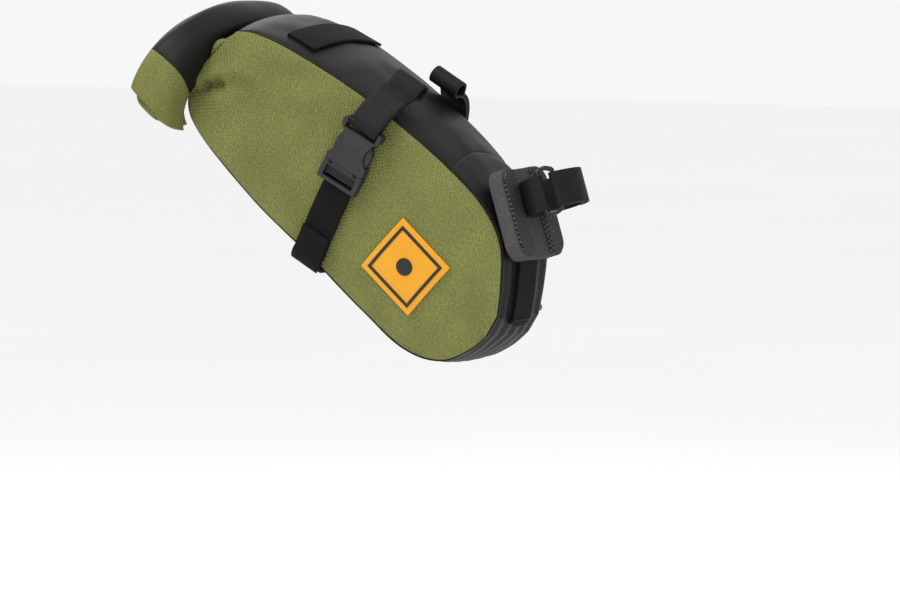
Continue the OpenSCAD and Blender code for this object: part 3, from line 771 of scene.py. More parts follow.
class BAG_OT_body(bpy.types.Operator):
    """Model the five sewn panels of the bag's body"""
    bl_idname = "saddle_bag.body"
    bl_label = "Body panels"

    def execute(self, context):
        finishes = materials(context.scene.saddle_bag)
        shell = body_shell()
        modify(shell, "SUBSURF", levels=1, render_levels=1)
        parts = (("canvas_side_right", RIGHT, "olive_woven_canvas", "olive_fabric", "side_panel_right"),
                 ("canvas_side_left", LEFT, "olive_woven_canvas", "olive_fabric", "side_panel_left"),
                 ("coated_top", TOP_PANEL, "coated_nylon", "coated_fabric", "top_panel"),
                 ("coated_nose", NOSE, "coated_nylon", "coated_fabric", "front_gusset"),
                 ("coated_base", UNDER, "coated_nylon", "coated_fabric", "bottom_panel"))
        for name, index, material, slot, node in parts:
            piece = panel_from(shell, name, index, PANEL_T)
            finish(piece, BAG, "bag", finishes[material], (node,))
        bpy.data.objects.remove(shell)
        return {"FINISHED"}


# ---------------------------------------------------------------- the rolled mouth
ROLL_U, ROLL_W = -220.5, -51
ROLL_HALF_H, ROLL_HALF_T = 24, 14
ROLL_HALF = 88
ROLL_TURNS = 2.4
ROLL_PITCH = 3.9
ROLL_START = -5
ROLL_SPLIT = 66
ROLL_T = 1.7
ROLL_FORWARD = 14.5
ROLL_BEND, BEND_POWER = 88, 1.7     # degrees turned at the ends, and how late the turn comes
BEND_STEP = 2
SQUARENESS = 0.65               # power that squares the flattened section, where 1 is an ellipse


def turn_at(s):
    """How far the roll's axis has turned down at s along it."""
    return math.radians(ROLL_BEND * (abs(s) / ROLL_HALF) ** BEND_POWER)


def roll_axis():
    """Tables of how far out and how far down the bent axis has come at each distance along it."""
    out, drop, y, w = [], [], 0, 0
    for i in range(ROLL_HALF // BEND_STEP + 2):
        out.append((BEND_STEP * i, y))
        drop.append((BEND_STEP * i, w))
        turn = turn_at(BEND_STEP * (i + 0.5))
        y += BEND_STEP * math.cos(turn)
        w += BEND_STEP * math.sin(turn)
    return out, drop


ROLL_OUT, ROLL_DROP = roll_axis()


def roll_point(angle, s, off=0):
    """Point on the rolled sheet: angle from where the neck comes in, s along the roll's axis."""
    f = abs(s) / ROLL_HALF
    rad = math.radians(angle)
    turned = angle - ROLL_START
    inward = turned / 360 * ROLL_PITCH - off
    ripple = (0.9 * noise.noise(Vector((math.cos(rad) * 2, math.sin(rad) * 2 + turned / 300, s / 30)))
              + 0.9 * f ** 4 * math.sin(3 * rad + turned / 80)) * min(1, turned / 40)
    size = 1 - 0.03 * f ** 3
    c, n = math.cos(rad), math.sin(rad)
    half_t = ROLL_HALF_T * (1 + 0.25 * f * f)
    forward = math.copysign(abs(c) ** SQUARENESS, c) * (half_t - inward + ripple) * size
    up = math.copysign(abs(n) ** SQUARENESS, n) * (ROLL_HALF_H - inward + ripple) * size
    turn, side = turn_at(s), math.copysign(1, s)
    return Vector((ROLL_U + ROLL_FORWARD * f ** 5 + forward,
                   side * (look_up(ROLL_OUT, abs(s)) + up * math.sin(turn)),
                   ROLL_W - look_up(ROLL_DROP, abs(s)) + up * math.cos(turn)))


def roll_hem(angle):
    """How much shorter than the whole roll one layer's open end is."""
    turn = (angle - ROLL_START) / 360
    back = max(0, math.cos(math.radians(angle - 140)))
    return 1.2 + back * max(1.5, 7 - 4 * turn) + 1.3 * math.sin(math.radians(angle * 2.2)) + 0.6 * turn


def roll_sheet(name, s0, s1, steps):
    """Rolled layers from s0 to s1 along the axis, with the wavy hem at an open end."""
    rows = []
    for a in range(ROLL_START, ROLL_START + int(360 * ROLL_TURNS), 8):
        start, end = s0, s1
        if end == ROLL_HALF:
            end -= roll_hem(a)
        if start == -ROLL_HALF:
            start += roll_hem(a)
        rows.append([roll_point(a, start + (end - start) * j / steps) for j in range(steps + 1)])
    piece = lofted(name, rows)
    modify(piece, "SOLIDIFY", thickness=ROLL_T, offset=-1)
    modify(piece, "BEVEL", width=0.5, segments=2, limit_method="ANGLE", angle_limit=math.radians(60))
    return smooth_shade(piece, 60)


NECK_HALF = 50
NECK_REACH = 36


def neck_point(t, f):
    """Neck from the body's tail to the roll: t from -1 to 1 across, f from body to roll."""
    start = chain_point(0, t * NECK_HALF / half_width(-198), -0.4)
    end = roll_point(ROLL_START, t * NECK_REACH)
    valley = Vector((3.5, 0, -3)) * math.sin(math.pi * f)
    return start.lerp(end, f) + valley


def neck_sheet():
    """Flattened neck that joins the body to the roll."""
    wide, deep = 40, 14
    rows = [[neck_point(-1 + 2 * j / wide, i / deep) for j in range(wide + 1)] for i in range(deep + 1)]
    piece = lofted("mouth_neck", rows)
    modify(piece, "SOLIDIFY", thickness=1.4, offset=0)
    return smooth_shade(piece, 60)


FOLD_REACH = 8.6                # how far a tail fold stands out behind the rim
FOLD_CREASE = 3.6               # how deep it starts inside the rim
FOLD_LAP = 5.2                  # how far it turns in behind


def fold_sheet(name, side):
    """Full fold of the side fabric that stands out behind the tail's rim and turns in behind it."""
    rim = [TOP[0]] + [BOTTOM[i] for i in range(0, 2 * STEPS - 4)]
    rim = smooth_path([tuple(p) for p in rim], 2)
    rows = []
    for i, p in enumerate(rim):
        f = i / (len(rim) - 1)
        reach = FOLD_REACH * math.sin(math.pi * f ** 0.85) ** 0.7
        base = p.x - tail_push(Vector((p.x, BULGE_Y, p.y))) + 0.8
        row = []
        for j in range(17):
            a = math.radians(15 * j)
            crease = FOLD_CREASE * math.exp(-(math.degrees(a) / 20) ** 2)
            wave = 0.6 * math.sin(a * 3 + f * 7) * f * (1 - f)
            lap = FOLD_LAP * (1 - math.cos(a * 0.9))
            row.append(Vector((base - reach * math.sin(a * 0.9) + wave,
                               side * (half_width(p.x) - 0.4 - crease - lap), p.y)))
        rows.append(row)
    piece = lofted(name, rows)
    modify(piece, "SOLIDIFY", thickness=1.1, offset=0)
    modify(piece, "SUBSURF", levels=1, render_levels=1)
    return smooth_shade(piece, 60)


class BAG_OT_roll(bpy.types.Operator):
    """Model the rolled mouth and the neck that joins it to the body"""
    bl_idname = "saddle_bag.roll"
    bl_label = "Rolled mouth"

    def execute(self, context):
        finishes = materials(context.scene.saddle_bag)
        seam = ROLL_SPLIT + 0.2
        centre = roll_sheet("rolled_mouth", -ROLL_SPLIT, ROLL_SPLIT, 52)
        finish(centre, BAG, "bag", finishes["coated_nylon"], ("roll_centre",))
        for (word, side), (s0, s1) in zip(SIDES, ((-ROLL_HALF, -seam), (seam, ROLL_HALF))):
            end = roll_sheet("rolled_end_" + word, s0, s1, 12)
            finish(end, BAG, "bag", finishes["olive_woven_canvas"], ("roll_end_" + word,))
            fold = fold_sheet("tail_fold_" + word, side)
            finish(fold, BAG, "bag", finishes["olive_woven_canvas"])
        finish(neck_sheet(), BAG, "bag", finishes["coated_nylon"], ("neck",))
        return {"FINISHED"}


# ---------------------------------------------------------------- trim on the body
def tack_rows(length, spacing, width, rows, gap):
    """Zigzag of a bar tack, lying in x and y."""
    paths = []
    for r in range(rows):
        line = gap * (r - (rows - 1) / 2)
        paths.append([Vector((-length / 2 + spacing * i, line + (width / 2 if i % 2 else -width / 2), 0))
                      for i in range(int(length / spacing) + 1)])
    return paths


SIDEWAYS = (0, 1, 0)
NOSE_FIRST, NOSE_LAST = 7 * STEPS, LAST + 12    # rows of the outline where the nose webbing starts and ends
CROSS_REACH = 38                                # half of the top webbing's length


class BAG_OT_trim(bpy.types.Operator):
    """Model the strips and bar tacks sewn on the nose and on the top"""
    bl_idname = "saddle_bag.trim"
    bl_label = "Nose and top trim"

    def execute(self, context):
        finishes = materials(context.scene.saddle_bag)
        rows = [NOSE_FIRST + (NOSE_LAST - NOSE_FIRST) * i / 50 for i in range(51)]
        centres = [chain_point(i, 0, 1.0) for i in rows]
        strip = band("nose_webbing", centres, [SIDEWAYS] * len(rows), WEB_W, WEB_T)
        finish(strip, BAG, "bag", finishes["nylon_webbing"], ("nose_strip",))
        at, on_top = NOSE_LAST - 3, 1.9
        here, ahead = chain_point(at, 0, on_top), chain_point(at + 1, 0, on_top)
        along = (ahead - here).normalized()
        normal = Vector(SIDEWAYS).cross(along).normalized()
        if normal.dot(chain_point(at, 0, on_top + 1.5) - here) < 0:
            normal = -normal
        turn = Matrix((Vector(SIDEWAYS), along, normal)).transposed().to_4x4()
        tack = wire("nose_bar_tack_thread", tack_rows(16, 0.7, 1.6, 2, 4), 0.28)
        tack.data.transform(Matrix.Translation(here + normal * 0.1) @ turn)
        finish(tack, BAG, "bag", finishes["bonded_thread"], ("nose_bar_tack",))
        at = next(i for i, p in enumerate(TOP) if p.x > CROSS_U)
        reach = CROSS_REACH / half_width(CROSS_U)
        points = [chain_point(at, reach * (i / 15 - 1), 0.9) for i in range(31)]
        cross = band("top_webbing", points, [(1, 0, 0.16)] * len(points), WEB_W, WEB_T)
        finish(cross, BAG, "bag", finishes["nylon_webbing"], ("top_cross_strip",))
        return {"FINISHED"}


# ---------------------------------------------------------------- webbing round the body
def girth_line(off, start_w=-57.5):
    """Middle line of the webbing on the left half, from the buckle down and under the bag."""
    places = [start_w, -62, -70, -76, -82, -88, -94]
    points = []
    for w in places:
        lift = 1.5 * max(0, (w + 66) / 8)
        points.append(Vector((strap_centre(w), flank_y(strap_centre(w), w) + 0.5 + off + lift, w)))
    u0 = strap_centre(-90)
    y0 = half_width(u0)
    wb = look_up(UNDER_LINE, u0)
    for a in range(0, 91, 15):
        rad = math.radians(a)
        points.append(Vector((strap_centre(wb), y0 - 5 + (6.5 + off) * math.cos(rad),
                              wb + 5 - (9.2 + off) * math.sin(rad))))
    for y in (30, 22, 11, 0):
        points.append(Vector((strap_centre(wb), y, wb - 4.2 - off)))
    return points


class BAG_OT_girth(bpy.types.Operator):
    """Model the webbing that runs under the bag and its two free tails"""
    bl_idname = "saddle_bag.girth"
    bl_label = "Girth webbing"

    def execute(self, context):
        finishes = materials(context.scene.saddle_bag)
        half = girth_line(WEB_T / 2)
        whole = half + [Vector((p.x, -p.y, p.z)) for p in reversed(half[:-1])]
        line = smooth_path(whole, 3)
        web = band("girth_strap", line, [(1, 0, STRAP_LEAN)] * len(line), WEB_W, WEB_T)
        finish(web, BAG, "bag", finishes["nylon_webbing"], ("girth_webbing",))
        tails = []
        for word, side in SIDES:
            line = smooth_path(girth_line(1.5 * WEB_T + 0.4)[6:12], 3)
            line = [Vector((p.x, p.y * side, p.z)) for p in line]
            tails.append(band("strap_tail_" + word, line, [(1, 0, STRAP_LEAN)] * len(line),
                              WEB_W - 0.6, WEB_T))
        finish(join("strap_tails", tails), BAG, "bag", finishes["nylon_webbing"],
               ("webbing_keepers",))
        return {"FINISHED"}


# ---------------------------------------------------------------- side-release buckles
BUCKLE_W = 26
BUCKLE_T = 7.2
PRONG_X = 8.6                   # how far out each prong's pivot is
PRONG_ROOT = -0.4
BUCKLE = (BAG @ Matrix.Translation((strap_centre(JOINT_W), BUCKLE_Y, JOINT_W))
          @ Matrix.Rotation(-math.atan(TAPER), 4, "Z") @ Matrix.Rotation(math.radians(-5), 4, "Y"))


def buckle_place(side):
    """Buckle frame of one side: z up the strap, x towards the nose, y out of the bag."""
    if side > 0:
        return BUCKLE
    return FLIP @ BUCKLE


def socket_outline():
    """Hourglass outline of the socket, from the joint up: square foot, round waist, square shoulder."""
    half = [(12.6, 0.3), (13, 1.0), (13, 3.6), (12.6, 5.2)]
    for a in range(205, 141, -8):
        rad = math.radians(a)
        half.append((17.6 + 9.6 * math.cos(rad), 12.9 + 9.6 * math.sin(rad)))
    half += [(10.2, 20.2), (11.4, 21.6), (12.8, 22.8), (13, 24.2), (13, 26.6), (12.2, 28)]
    return half + [(-x, z) for x, z in reversed(half)]


def socket(name):
    """Socket with its cavity, its strap slot, its sunk bar and its hollowed face."""
    piece = plate(name, socket_outline(), -BUCKLE_T / 2, BUCKLE_T / 2)
    cavity = block("cavity", (-11.6, -2.2, -1), (11.6, 2.2, 20))
    slot = block("slot", (-10.5, -8, 22.0), (10.5, 8, 24.9))
    step = block("bar_front", (-10.5, 2.1, 24.2), (10.5, 8, 29))
    back = block("bar_back", (-10.5, -8, 24.2), (10.5, -2.1, 29))
    combine(piece, [cavity, slot, step, back])
    scoop = rod("scoop", (-30, 43.3, 11.5), (30, 43.3, 11.5), 40.4, 96)
    combine(piece, [scoop])
    return soften(piece, 0.55)


def plug(name):
    """Plug with its tongue and its ribbed ladder bar."""
    piece = block(name, (-BUCKLE_W / 2, -2.8, -12), (BUCKLE_W / 2, 2.8, 0))
    window = block("window", (-10.2, -8, -9.9), (10.2, 8, -3.0))
    roots = [rod("root", (s * PRONG_X, -8, PRONG_ROOT), (s * PRONG_X, 8, PRONG_ROOT), 1.58, 32)
             for s in (-1, 1)]
    tongue = block("tongue", (-3, -1.8, -0.5), (3, 1.8, 13.5))
    combine(piece, [window] + roots)
    combine(piece, [tongue], "UNION")
    soften(piece, 0.5)
    bar = soften(block("ladder_bar", (-10.3, -1.6, -8.2), (10.3, 1.0, -3.6)), 0.3)
    ribs = []
    for i in range(5):
        z = -7.7 + i * 0.92
        ribs.append(soften(block("rib", (-9.7, 0.6, z), (9.7, 1.7, z + 0.5)), 0.15, 2))
    return join(name, [piece, bar] + ribs)


def prong(name, s):
    """Spring arm with a thumb pad that fills the side window."""
    arm = [(-1.1, 0), (-1.0, 8), (-0.6, 12), (-1.0, 18.4), (-0.2, 18.9), (0.6, 18.9), (1.9, 18.0),
           (2.9, 16.2), (3.5, 14), (3.5, 10.5), (2.9, 7.5), (1.8, 4.5), (1.2, 2.5), (1.1, 0)]
    piece = plate(name, [(s * (PRONG_X + x), PRONG_ROOT + z) for x, z in arm], -1.8, 1.8)
    pivot = rod("pivot", (s * PRONG_X, -1.8, PRONG_ROOT), (s * PRONG_X, 1.8, PRONG_ROOT), 1.5, 32)
    combine(piece, [pivot], "UNION")
    return soften(piece, 0.4)


class BAG_OT_buckles(bpy.types.Operator):
    """Model the two side-release buckles with their spring prongs"""
    bl_idname = "saddle_bag.buckles"
    bl_label = "Side-release buckles"

    def execute(self, context):
        finishes = materials(context.scene.saddle_bag)
        plastic = finishes["moulded_acetal"]
        for word, side in SIDES:
            place = buckle_place(side)
            finish(socket("socket_" + word), place, "rail_strap_" + word, plastic,
                   ("buckle_socket_" + word,))
            finish(plug("plug_" + word), place, "bag", plastic, ("buckle_plug_" + word,))
            for end, s in (("front", 1), ("rear", -1)):
                node = f"prong_{end}_{word}"
                finish(prong(f"spring_{end}_{word}", s), place, node, plastic, (node,))
        return {"FINISHED"}


# ---------------------------------------------------------------- rail straps
RAIL_EYE, EYE_R = (22, 3.3), 4.5
SOCKET_BAR = 26.4               # height of the socket's bar over the joint
PLY_OFF = 0.85                  # from the strap's middle to the middle of each of its two layers
TACK_FROM, TACK_TO = (42.4, -10.6), (35, -3.6)      # straight stretch that the bar tacks lie on


def rail_loop():
    """Closed line of the doubled strap in y and w: round the socket's bar, up, and round the rail."""
    bar = (BUCKLE_Y, JOINT_W + SOCKET_BAR)
    centre = smooth_path([(48.3, -19.5), TACK_FROM, TACK_TO, (27.5, 0.2)], 6)
    outer, inner = [], []
    for i, p in enumerate(centre):
        ahead, behind = centre[min(i + 1, len(centre) - 1)], centre[max(i - 1, 0)]
        d = (ahead - behind).normalized()
        n = Vector((d.y, -d.x))
        outer.append(p + n * PLY_OFF)
        inner.append(p - n * PLY_OFF)
    wrap = [Vector((bar[0] + 3.0 * math.cos(math.radians(a)), bar[1] + 2.4 * math.sin(math.radians(a))))
            for a in range(180, 361, 20)]
    eye = [Vector((RAIL_EYE[0] + EYE_R * math.cos(math.radians(a)),
                   RAIL_EYE[1] + EYE_R * math.sin(math.radians(a)))) for a in range(20, 301, 20)]
    return outer + eye + list(reversed(inner)) + wrap


class BAG_OT_rail_straps(bpy.types.Operator):
    """Model the doubled straps that hang the bag from the saddle rails, and their bar tacks"""
    bl_idname = "saddle_bag.rail_straps"
    bl_label = "Rail straps"

    def execute(self, context):
        finishes = materials(context.scene.saddle_bag)
        for word, side in SIDES:
            line = [Vector((strap_centre(p.y), side * p.x, p.y)) for p in rail_loop()]
            strap = band("hanging_strap_" + word, line, [(1, 0, STRAP_LEAN)] * len(line), WEB_W, 1.5,
                         closed=True)
            finish(strap, BAG, "rail_strap_" + word, finishes["rubberised_strap"],
                   ("rail_strap_" + word,))
            low, high = Vector(TACK_FROM), Vector(TACK_TO)
            d = (high - low).normalized()
            n = Vector((d.y, -d.x))
            at = low.lerp(high, 0.62) + n * 1.75
            across = Vector((1, 0, STRAP_LEAN)).normalized()
            along = Vector((0, side * d.x, d.y))
            turn = Matrix((across, along, across.cross(along))).transposed().to_4x4()
            tack = wire("strap_tack_" + word, tack_rows(18, 0.9, 2.2, 3, 2.6), 0.36)
            tack.data.transform(Matrix.Translation((strap_centre(at.y), side * at.x, at.y)) @ turn)
            finish(tack, BAG, "rail_strap_" + word, finishes["bonded_thread"],
                   ("rail_strap_stitches_" + word,))
        return {"FINISHED"}


# ---------------------------------------------------------------- seatpost pad and strap
POST_R = 15.8
STRAP_T = 1.2
RING_R = POST_R + 2.8
REAR_BAR, FRONT_BAR = 78, 50
BAR_R = 1.4
TAPE_T = 0.7
TAPE_R = POST_R + STRAP_T + 0.05
HOOK_R = TAPE_R + TAPE_T + 0.3
FLAP_R = HOOK_R + TAPE_T + 0.05
PAD_DROP = -7


def around(radius, angle, z=0):
    """Point round the post: 0 is forward, and a positive angle goes to the bike's right."""
    rad = math.radians(angle)
    return Vector((radius * math.cos(rad), -radius * math.sin(rad), z))


def rounded_outline(width, height, radius, middle):
    """Rounded rectangle in y and z."""
    points = []
    for sy, sz, start in ((1, 1, 0), (-1, 1, 90), (-1, -1, 180), (1, -1, 270)):
        for a in range(start, start + 91, 10):
            rad = math.radians(a)
            points.append((sy * (width / 2 - radius) + radius * math.cos(rad),
                           middle + sz * (height / 2 - radius) + radius * math.sin(rad)))
    return points


def pad_layer(name, x0, x1, width, height, radius, recess, edge):
    """Slab with rounded corners, hollowed for the post and softened at its edges."""
    piece = plate(name, rounded_outline(width, height, radius, PAD_DROP), x0, x1)
    piece.data.transform(Matrix.Rotation(math.radians(-90), 4, "Z"))
    combine(piece, [rod("post_recess", (0, 0, -60), (0, 0, 60), recess, 96)])
    return soften(piece, edge, 4)


class BAG_OT_pad(bpy.types.Operator):
    """Model the foam pad behind the seatpost and its mesh face"""
    bl_idname = "saddle_bag.pad"
    bl_label = "Seatpost pad"

    def execute(self, context):
        finishes = materials(context.scene.saddle_bag)
        foam = pad_layer("foam_pad", -24, -15.2, 52, 53, 9, 18.8, 1.6)
        finish(foam, POST, "bag", finishes["closed_cell_foam"], ("pad_foam",))
        mesh = pad_layer("pad_spacer_mesh", -15.3, -13.6, 48, 50, 8, 17.6, 0.5)
        finish(mesh, POST, "bag", finishes["knitted_spacer_mesh"], ("pad_mesh",))
        return {"FINISHED"}


def fold_round(bar, radius, a0, a1, step=15):
    """Arc round an upright bar of the ring, measured from the bar's outward direction."""
    c = around(RING_R, bar)
    points = []
    count = int(abs(a1 - a0) / step)
    for i in range(count + 1):
        rad = math.radians(a0 + (a1 - a0) * i / count - bar)
        points.append(c + Vector((radius * math.cos(rad), radius * math.sin(rad), 0)))
    return points


class BAG_OT_post_strap(bpy.types.Operator):
    """Model the strap round the seatpost, its ring, its flap and the hook and loop tapes"""
    bl_idname = "saddle_bag.post_strap"
    bl_label = "Seatpost strap"

    def execute(self, context):
        finishes = materials(context.scene.saddle_bag)
        cloth, tape = finishes["rubberised_strap"], finishes["hook_and_loop_pile"]
        up = (0, 0, 1)
        mid = POST_R + STRAP_T / 2
        fold_r = BAR_R + 0.1 + STRAP_T / 2

        def strap(name, line, material, body, slot, node, width=WEB_W, thickness=STRAP_T):
            piece = band(name, line, [up] * len(line), width, thickness, lanes=8, bevel=0.25)
            finish(piece, POST, body, material, (node,))

        line = [around(mid, 178 - 4 * i) for i in range(23)]
        line += fold_round(REAR_BAR, fold_r, 180, 0)
        line += [around(RING_R + fold_r, REAR_BAR + 2 * i) for i in range(1, 6)]
        line += [around(RING_R + fold_r - 0.5 * i, REAR_BAR + 12 + 3 * i) for i in range(1, 4)]
        strap("pad_side_strap", line, cloth, "bag", "strap_fabric", "pad_strap")
        line = [around(mid, -178 + 4 * i) for i in range(55)]
        strap("long_strap", line, cloth, "bag", "strap_fabric", "post_strap")
        flap_mid = FLAP_R + STRAP_T / 2
        line = fold_round(FRONT_BAR, fold_r, 180, 360)
        line += smooth_path([around(RING_R + fold_r, FRONT_BAR - 4), around(RING_R + fold_r - 0.6, 38),
                             around(flap_mid + 0.3, 28), around(flap_mid, 20)], 4)
        line += [around(flap_mid, 16 - 4.3 * i) for i in range(21)]
        strap("folded_flap", line, cloth, "strap_flap", "strap_fabric", "strap_flap")
        line = [around(HOOK_R + TAPE_T / 2, 14 - 78 * i / 20) for i in range(21)]
        strap("hook_strip", line, tape, "strap_flap", "hook_and_loop", "hook_tape", WEB_W - 2, TAPE_T)
        line = [around(TAPE_R + TAPE_T / 2, 20 - 82 * i / 20) for i in range(21)]
        strap("loop_strip", line, tape, "bag", "hook_and_loop", "loop_tape", WEB_W - 2, TAPE_T)
        ring = wire("strap_loop_ring", [self.ring_path()], BAR_R, closed=True, sides=4)
        finish(ring, POST, "bag", finishes["glossy_acetal_ring"], ("strap_ring",))
        return {"FINISHED"}

    def ring_path(self):
        """Rounded rectangle with bowed ends, standing against the post."""
        a, b = around(RING_R, REAR_BAR), around(RING_R, FRONT_BAR)
        out = (a + b).normalized()
        half, corner = 12.2, 1.6
        path = []
        for sign, first, second in ((1, a, b), (-1, b, a)):
            reach = (second - first).normalized()
            for i in range(5):
                rad = math.radians(90 * i / 4)
                path.append(first + reach * corner * (1 - math.cos(rad))
                            + Vector((0, 0, sign * (half - corner + corner * math.sin(rad)))))
            for i in range(1, 6):
                t = i / 6
                bow = math.sin(math.pi * t)
                path.append(first.lerp(second, 0.15 + 0.7 * t) + out * 1.1 * bow
                            + Vector((0, 0, sign * (half + 1.0 * bow))))
            for i in range(5):
                rad = math.radians(90 * (1 - i / 4))
                path.append(second - reach * corner * (1 - math.cos(rad))
                            + Vector((0, 0, sign * (half - corner + corner * math.sin(rad)))))
        return path


# ---------------------------------------------------------------- patch
PATCH_SIDE = 40
BADGE_LIFT, INLAY_LIFT = 0.7, 1.5       # middle of each layer over the flank
BORDER_OUT, BORDER_IN = 3.2, 5.0        # from the badge's edge to the two edges of its border
DISC_RINGS = (0.01, 1.8, 3.6, 5.1)


def patch_point(a, b, lift):
    """Point on the patch: a and b in millimetres along its edges, which stand at 45 degrees on the bike."""
    s = math.sqrt(0.5)
    x, z = (a - b) * s, (a + b) * s
    tilt = math.radians(BAG_TILT)
    u = PATCH_AT[0] + x * math.cos(tilt) - z * math.sin(tilt)
    w = PATCH_AT[1] + x * math.sin(tilt) + z * math.cos(tilt)
    return Vector((u, -flank_y(u, w) - lift, w))


class BAG_OT_patch(bpy.types.Operator):
    """Model the square badge on the right flank with its plain inlaid border and disc"""
    bl_idname = "saddle_bag.patch"
    bl_label = "Flank patch"

    def execute(self, context):
        finishes = materials(context.scene.saddle_bag)
        half = PATCH_SIDE / 2
        steps = 40
        outer, inner = half - BORDER_OUT, half - BORDER_IN
        places = [-half + PATCH_SIDE * i / steps for i in range(steps + 1)]
        rows = [[patch_point(a, b, BADGE_LIFT) for b in places] for a in places]
        base = lofted("yellow_badge", rows)
        modify(base, "SOLIDIFY", thickness=1.3, offset=0)
        modify(base, "BEVEL", width=0.35, segments=3, limit_method="ANGLE", angle_limit=math.radians(50))
        smooth_shade(base, 45)
        finish(base, BAG, "bag", finishes["yellow_rubber_badge"], ("flank_patch",))
        border = []
        for edge in range(4):
            for i in range(20):
                t = -1 + 2 * i / 20
                a, b = ((t, -1), (1, t), (-t, 1), (-1, -t))[edge]
                border.append([patch_point(a * reach, b * reach, INLAY_LIFT) for reach in (outer, inner)])
        frame_line = lofted("badge_border", border, closed=True)
        modify(frame_line, "SOLIDIFY", thickness=0.4, offset=0)
        rings = []
        for radius in DISC_RINGS:
            rings.append([patch_point(radius * math.cos(math.radians(a)), radius * math.sin(math.radians(a)),
                                      INLAY_LIFT) for a in range(0, 361, 10)])
        disc = lofted("badge_disc", rings)
        modify(disc, "SOLIDIFY", thickness=0.4, offset=0)
        inlay = join("badge_inlay", [frame_line, disc])
        modify(inlay, "BEVEL", width=0.12, segments=2, limit_method="ANGLE", angle_limit=math.radians(50))
        smooth_shade(inlay, 45)
        finish(inlay, BAG, "bag", finishes["dark_rubber_inlay"], ("patch_inlay",))
        return {"FINISHED"}


class BAG_OT_inner(bpy.types.Operator):
    """Finish the stiffeners and binding tapes inside, which keep their exact shapes"""
    bl_idname = "saddle_bag.inner"
    bl_label = "Inner pieces"

    def execute(self, context):
        finishes = materials(context.scene.saddle_bag)
        for name in ("base_stiffener", "mouth_stiffener"):
            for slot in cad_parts[name].material_slots:
                slot.material = finishes["polyethylene_board"]
        rows = CHAIN[STEPS:len(CHAIN) - 2 * STEPS:2]
        for word, side in SIDES:
            line = []
            for p, n, _, _ in rows:
                q = p - n * 3.4
                line.append(Vector((q.x, side * (half_width(p.x) - 4.1), q.y)))
            tape = band("binding_tape_" + word, line, [SIDEWAYS] * len(line), 3.8, 0.8, lanes=2)
            finish(tape, BAG, "bag", finishes["nylon_webbing"], ("seam_tape_" + word,))
        return {"FINISHED"}


# ---------------------------------------------------------------- stage
WORLD_LIGHT = 0.93
SOFTBOXES = (("key_softbox", (-0.35, -0.7, 1.25), 0.7, 13),     # name, place, size and power
             ("front_softbox", (0.9, -1.1, 0.5), 0.8, 3),
             ("back_softbox", (-0.9, 0.9, 0.9), 0.9, 4))
LIT_AT = (-0.1, 0, 0.03)
CAMERA_AZIMUTH, CAMERA_ELEVATION = 30, 4
CAMERA_LENS, CAMERA_DISTANCE = 350, 5
AIM_RIGHT, AIM_UP = -0.058, -0.0626     # what the camera looks at, from the origin in its own plane


class BAG_OT_stage(bpy.types.Operator):
    """Set up the pale floor, the soft studio lights and the camera"""
    bl_idname = "saddle_bag.stage"
    bl_label = "Stage"

    def execute(self, context):
        scene = context.scene
        settings = scene.saddle_bag
        scene.view_settings.view_transform = "Standard"
        deselect()
        bpy.ops.mesh.primitive_plane_add(size=14)
        floor = bpy.context.object
        floor.name = "studio_floor"
        floor.data.transform(Matrix.Translation((0, 0, CAD_BOX[0][2] - settings.floor_drop)))
        # Matt emulsion on board: near white, with a mottle too faint to draw the eye
        paint, tree, shader = surface("matt_studio_floor", 0.9, 0.2)
        place = add_node(tree, "TexCoord").outputs["Object"]
        mottle = add_node(tree, "TexNoise", {"Vector": place, "Scale": grains(333.3)})
        tree.links.new(mix_colour(tree, mottle.outputs["Fac"], hex_colour("#f8f8f8"), hex_colour("#fcfcfc")),
                       shader.inputs["Base Color"])
        floor.data.materials.append(paint)
        world = bpy.data.worlds.new("studio_white")
        world.use_nodes = True
        sky = world.node_tree.nodes["Background"]
        sky.inputs["Color"].default_value = (1, 1, 1, 1)
        sky.inputs["Strength"].default_value = WORLD_LIGHT
        scene.world = world
        for name, place, size, power in SOFTBOXES:
            lamp = bpy.data.lights.new(name, "AREA")
            lamp.size = size
            lamp.energy = power
            holder = bpy.data.objects.new(name, lamp)
            scene.collection.objects.link(holder)
            holder.location = place
            holder.rotation_euler = (Vector(LIT_AT) - Vector(place)).to_track_quat("-Z", "Y").to_euler()
        azimuth, elevation = math.radians(CAMERA_AZIMUTH), math.radians(CAMERA_ELEVATION)
        back = Vector((math.sin(azimuth) * math.cos(elevation), -math.cos(azimuth) * math.cos(elevation),
                       math.sin(elevation)))
        right = Vector((math.cos(azimuth), math.sin(azimuth), 0))
        up = back.cross(right)
        aim = right * AIM_RIGHT + up * AIM_UP
        lens = bpy.data.cameras.new("camera")
        lens.lens = CAMERA_LENS
        camera = bpy.data.objects.new("camera", lens)
        scene.collection.objects.link(camera)
        camera.location = aim + back * CAMERA_DISTANCE
        camera.rotation_euler = back.to_track_quat("Z", "Y").to_euler()
        scene.camera = camera
        return {"FINISHED"}


# ---------------------------------------------------------------- add-on
def colour_setting(name, description, hexes):
    """Colour setting with a hex default."""
    return bpy.props.FloatVectorProperty(name=name, description=description, size=3, subtype="COLOR",
                                         min=0, max=1, default=hex_colour(hexes))


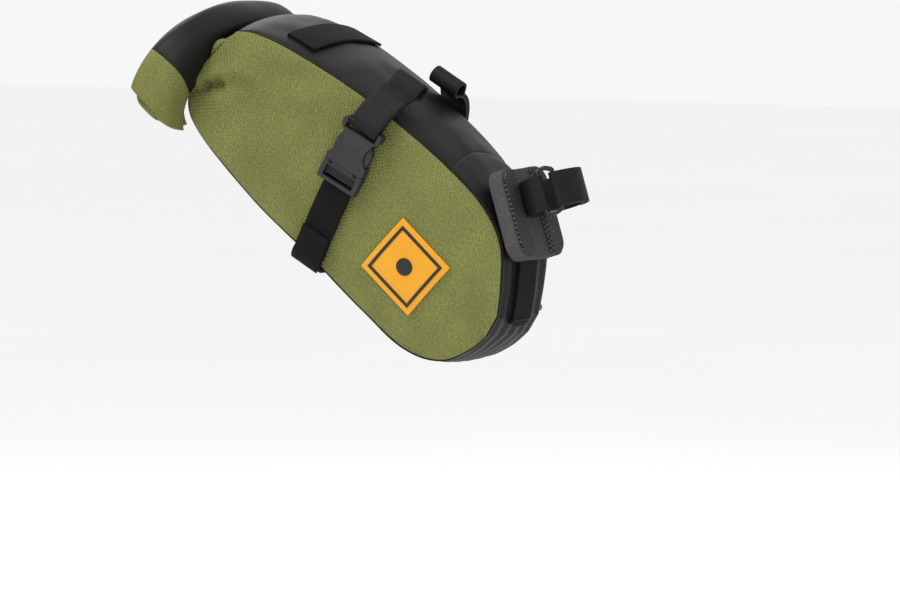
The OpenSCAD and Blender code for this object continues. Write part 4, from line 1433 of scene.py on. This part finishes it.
class SaddleBagSettings(bpy.types.PropertyGroup):
    olive: colour_setting("Olive", "Threads of the side panels", "#77793f")
    olive_light: colour_setting("Olive highlight", "Pale flecks of the side panels", "#919456")
    olive_shadow: colour_setting("Olive shadow", "Gaps between the threads", "#3c3e1f")
    coating: colour_setting("Coating", "Film on the black panels", "#0b0b0c")
    webbing: colour_setting("Webbing", "Raised ribs of the webbing", "#1b1b1c")
    strap: colour_setting("Strap", "Rubbed places of the strap fabric", "#1e1e1f")
    patch: colour_setting("Patch", "Badge on the right flank", "#dc9b06")
    thread_pitch: bpy.props.FloatProperty(name="Thread pitch", description="Thread spacing of the canvas",
                                          default=0.0013, min=0.0005, max=0.003, unit="LENGTH")
    floor_drop: bpy.props.FloatProperty(name="Floor drop", description="Height of the bag over the floor",
                                        default=0.22, min=0, max=1, unit="LENGTH")


STEPS_IN_ORDER = (BAG_OT_stage, BAG_OT_body, BAG_OT_roll, BAG_OT_trim, BAG_OT_girth, BAG_OT_buckles,
                  BAG_OT_rail_straps, BAG_OT_pad, BAG_OT_post_strap, BAG_OT_patch, BAG_OT_inner)


class BAG_PT_panel(bpy.types.Panel):
    """Sidebar panel with one button for each group of pieces"""
    bl_idname = "BAG_PT_panel"
    bl_label = "Saddle bag"
    bl_space_type = "VIEW_3D"
    bl_region_type = "UI"
    bl_category = "Saddle bag"

    def draw(self, context):
        for name in SaddleBagSettings.__annotations__:
            self.layout.prop(context.scene.saddle_bag, name)
        for step in STEPS_IN_ORDER:
            self.layout.operator(step.bl_idname)


CLASSES = (SaddleBagSettings, *STEPS_IN_ORDER, BAG_PT_panel)


def register():
    for item in CLASSES:
        bpy.utils.register_class(item)
    bpy.types.Scene.saddle_bag = bpy.props.PointerProperty(type=SaddleBagSettings)


def unregister():
    del bpy.types.Scene.saddle_bag
    for item in reversed(CLASSES):
        bpy.utils.unregister_class(item)


def main():
    register()
    for step in STEPS_IN_ORDER:
        group, word = step.bl_idname.split(".")
        getattr(getattr(bpy.ops, group), word)()
    bpy.context.view_layer.update()


if __name__ == "__main__":
    main()
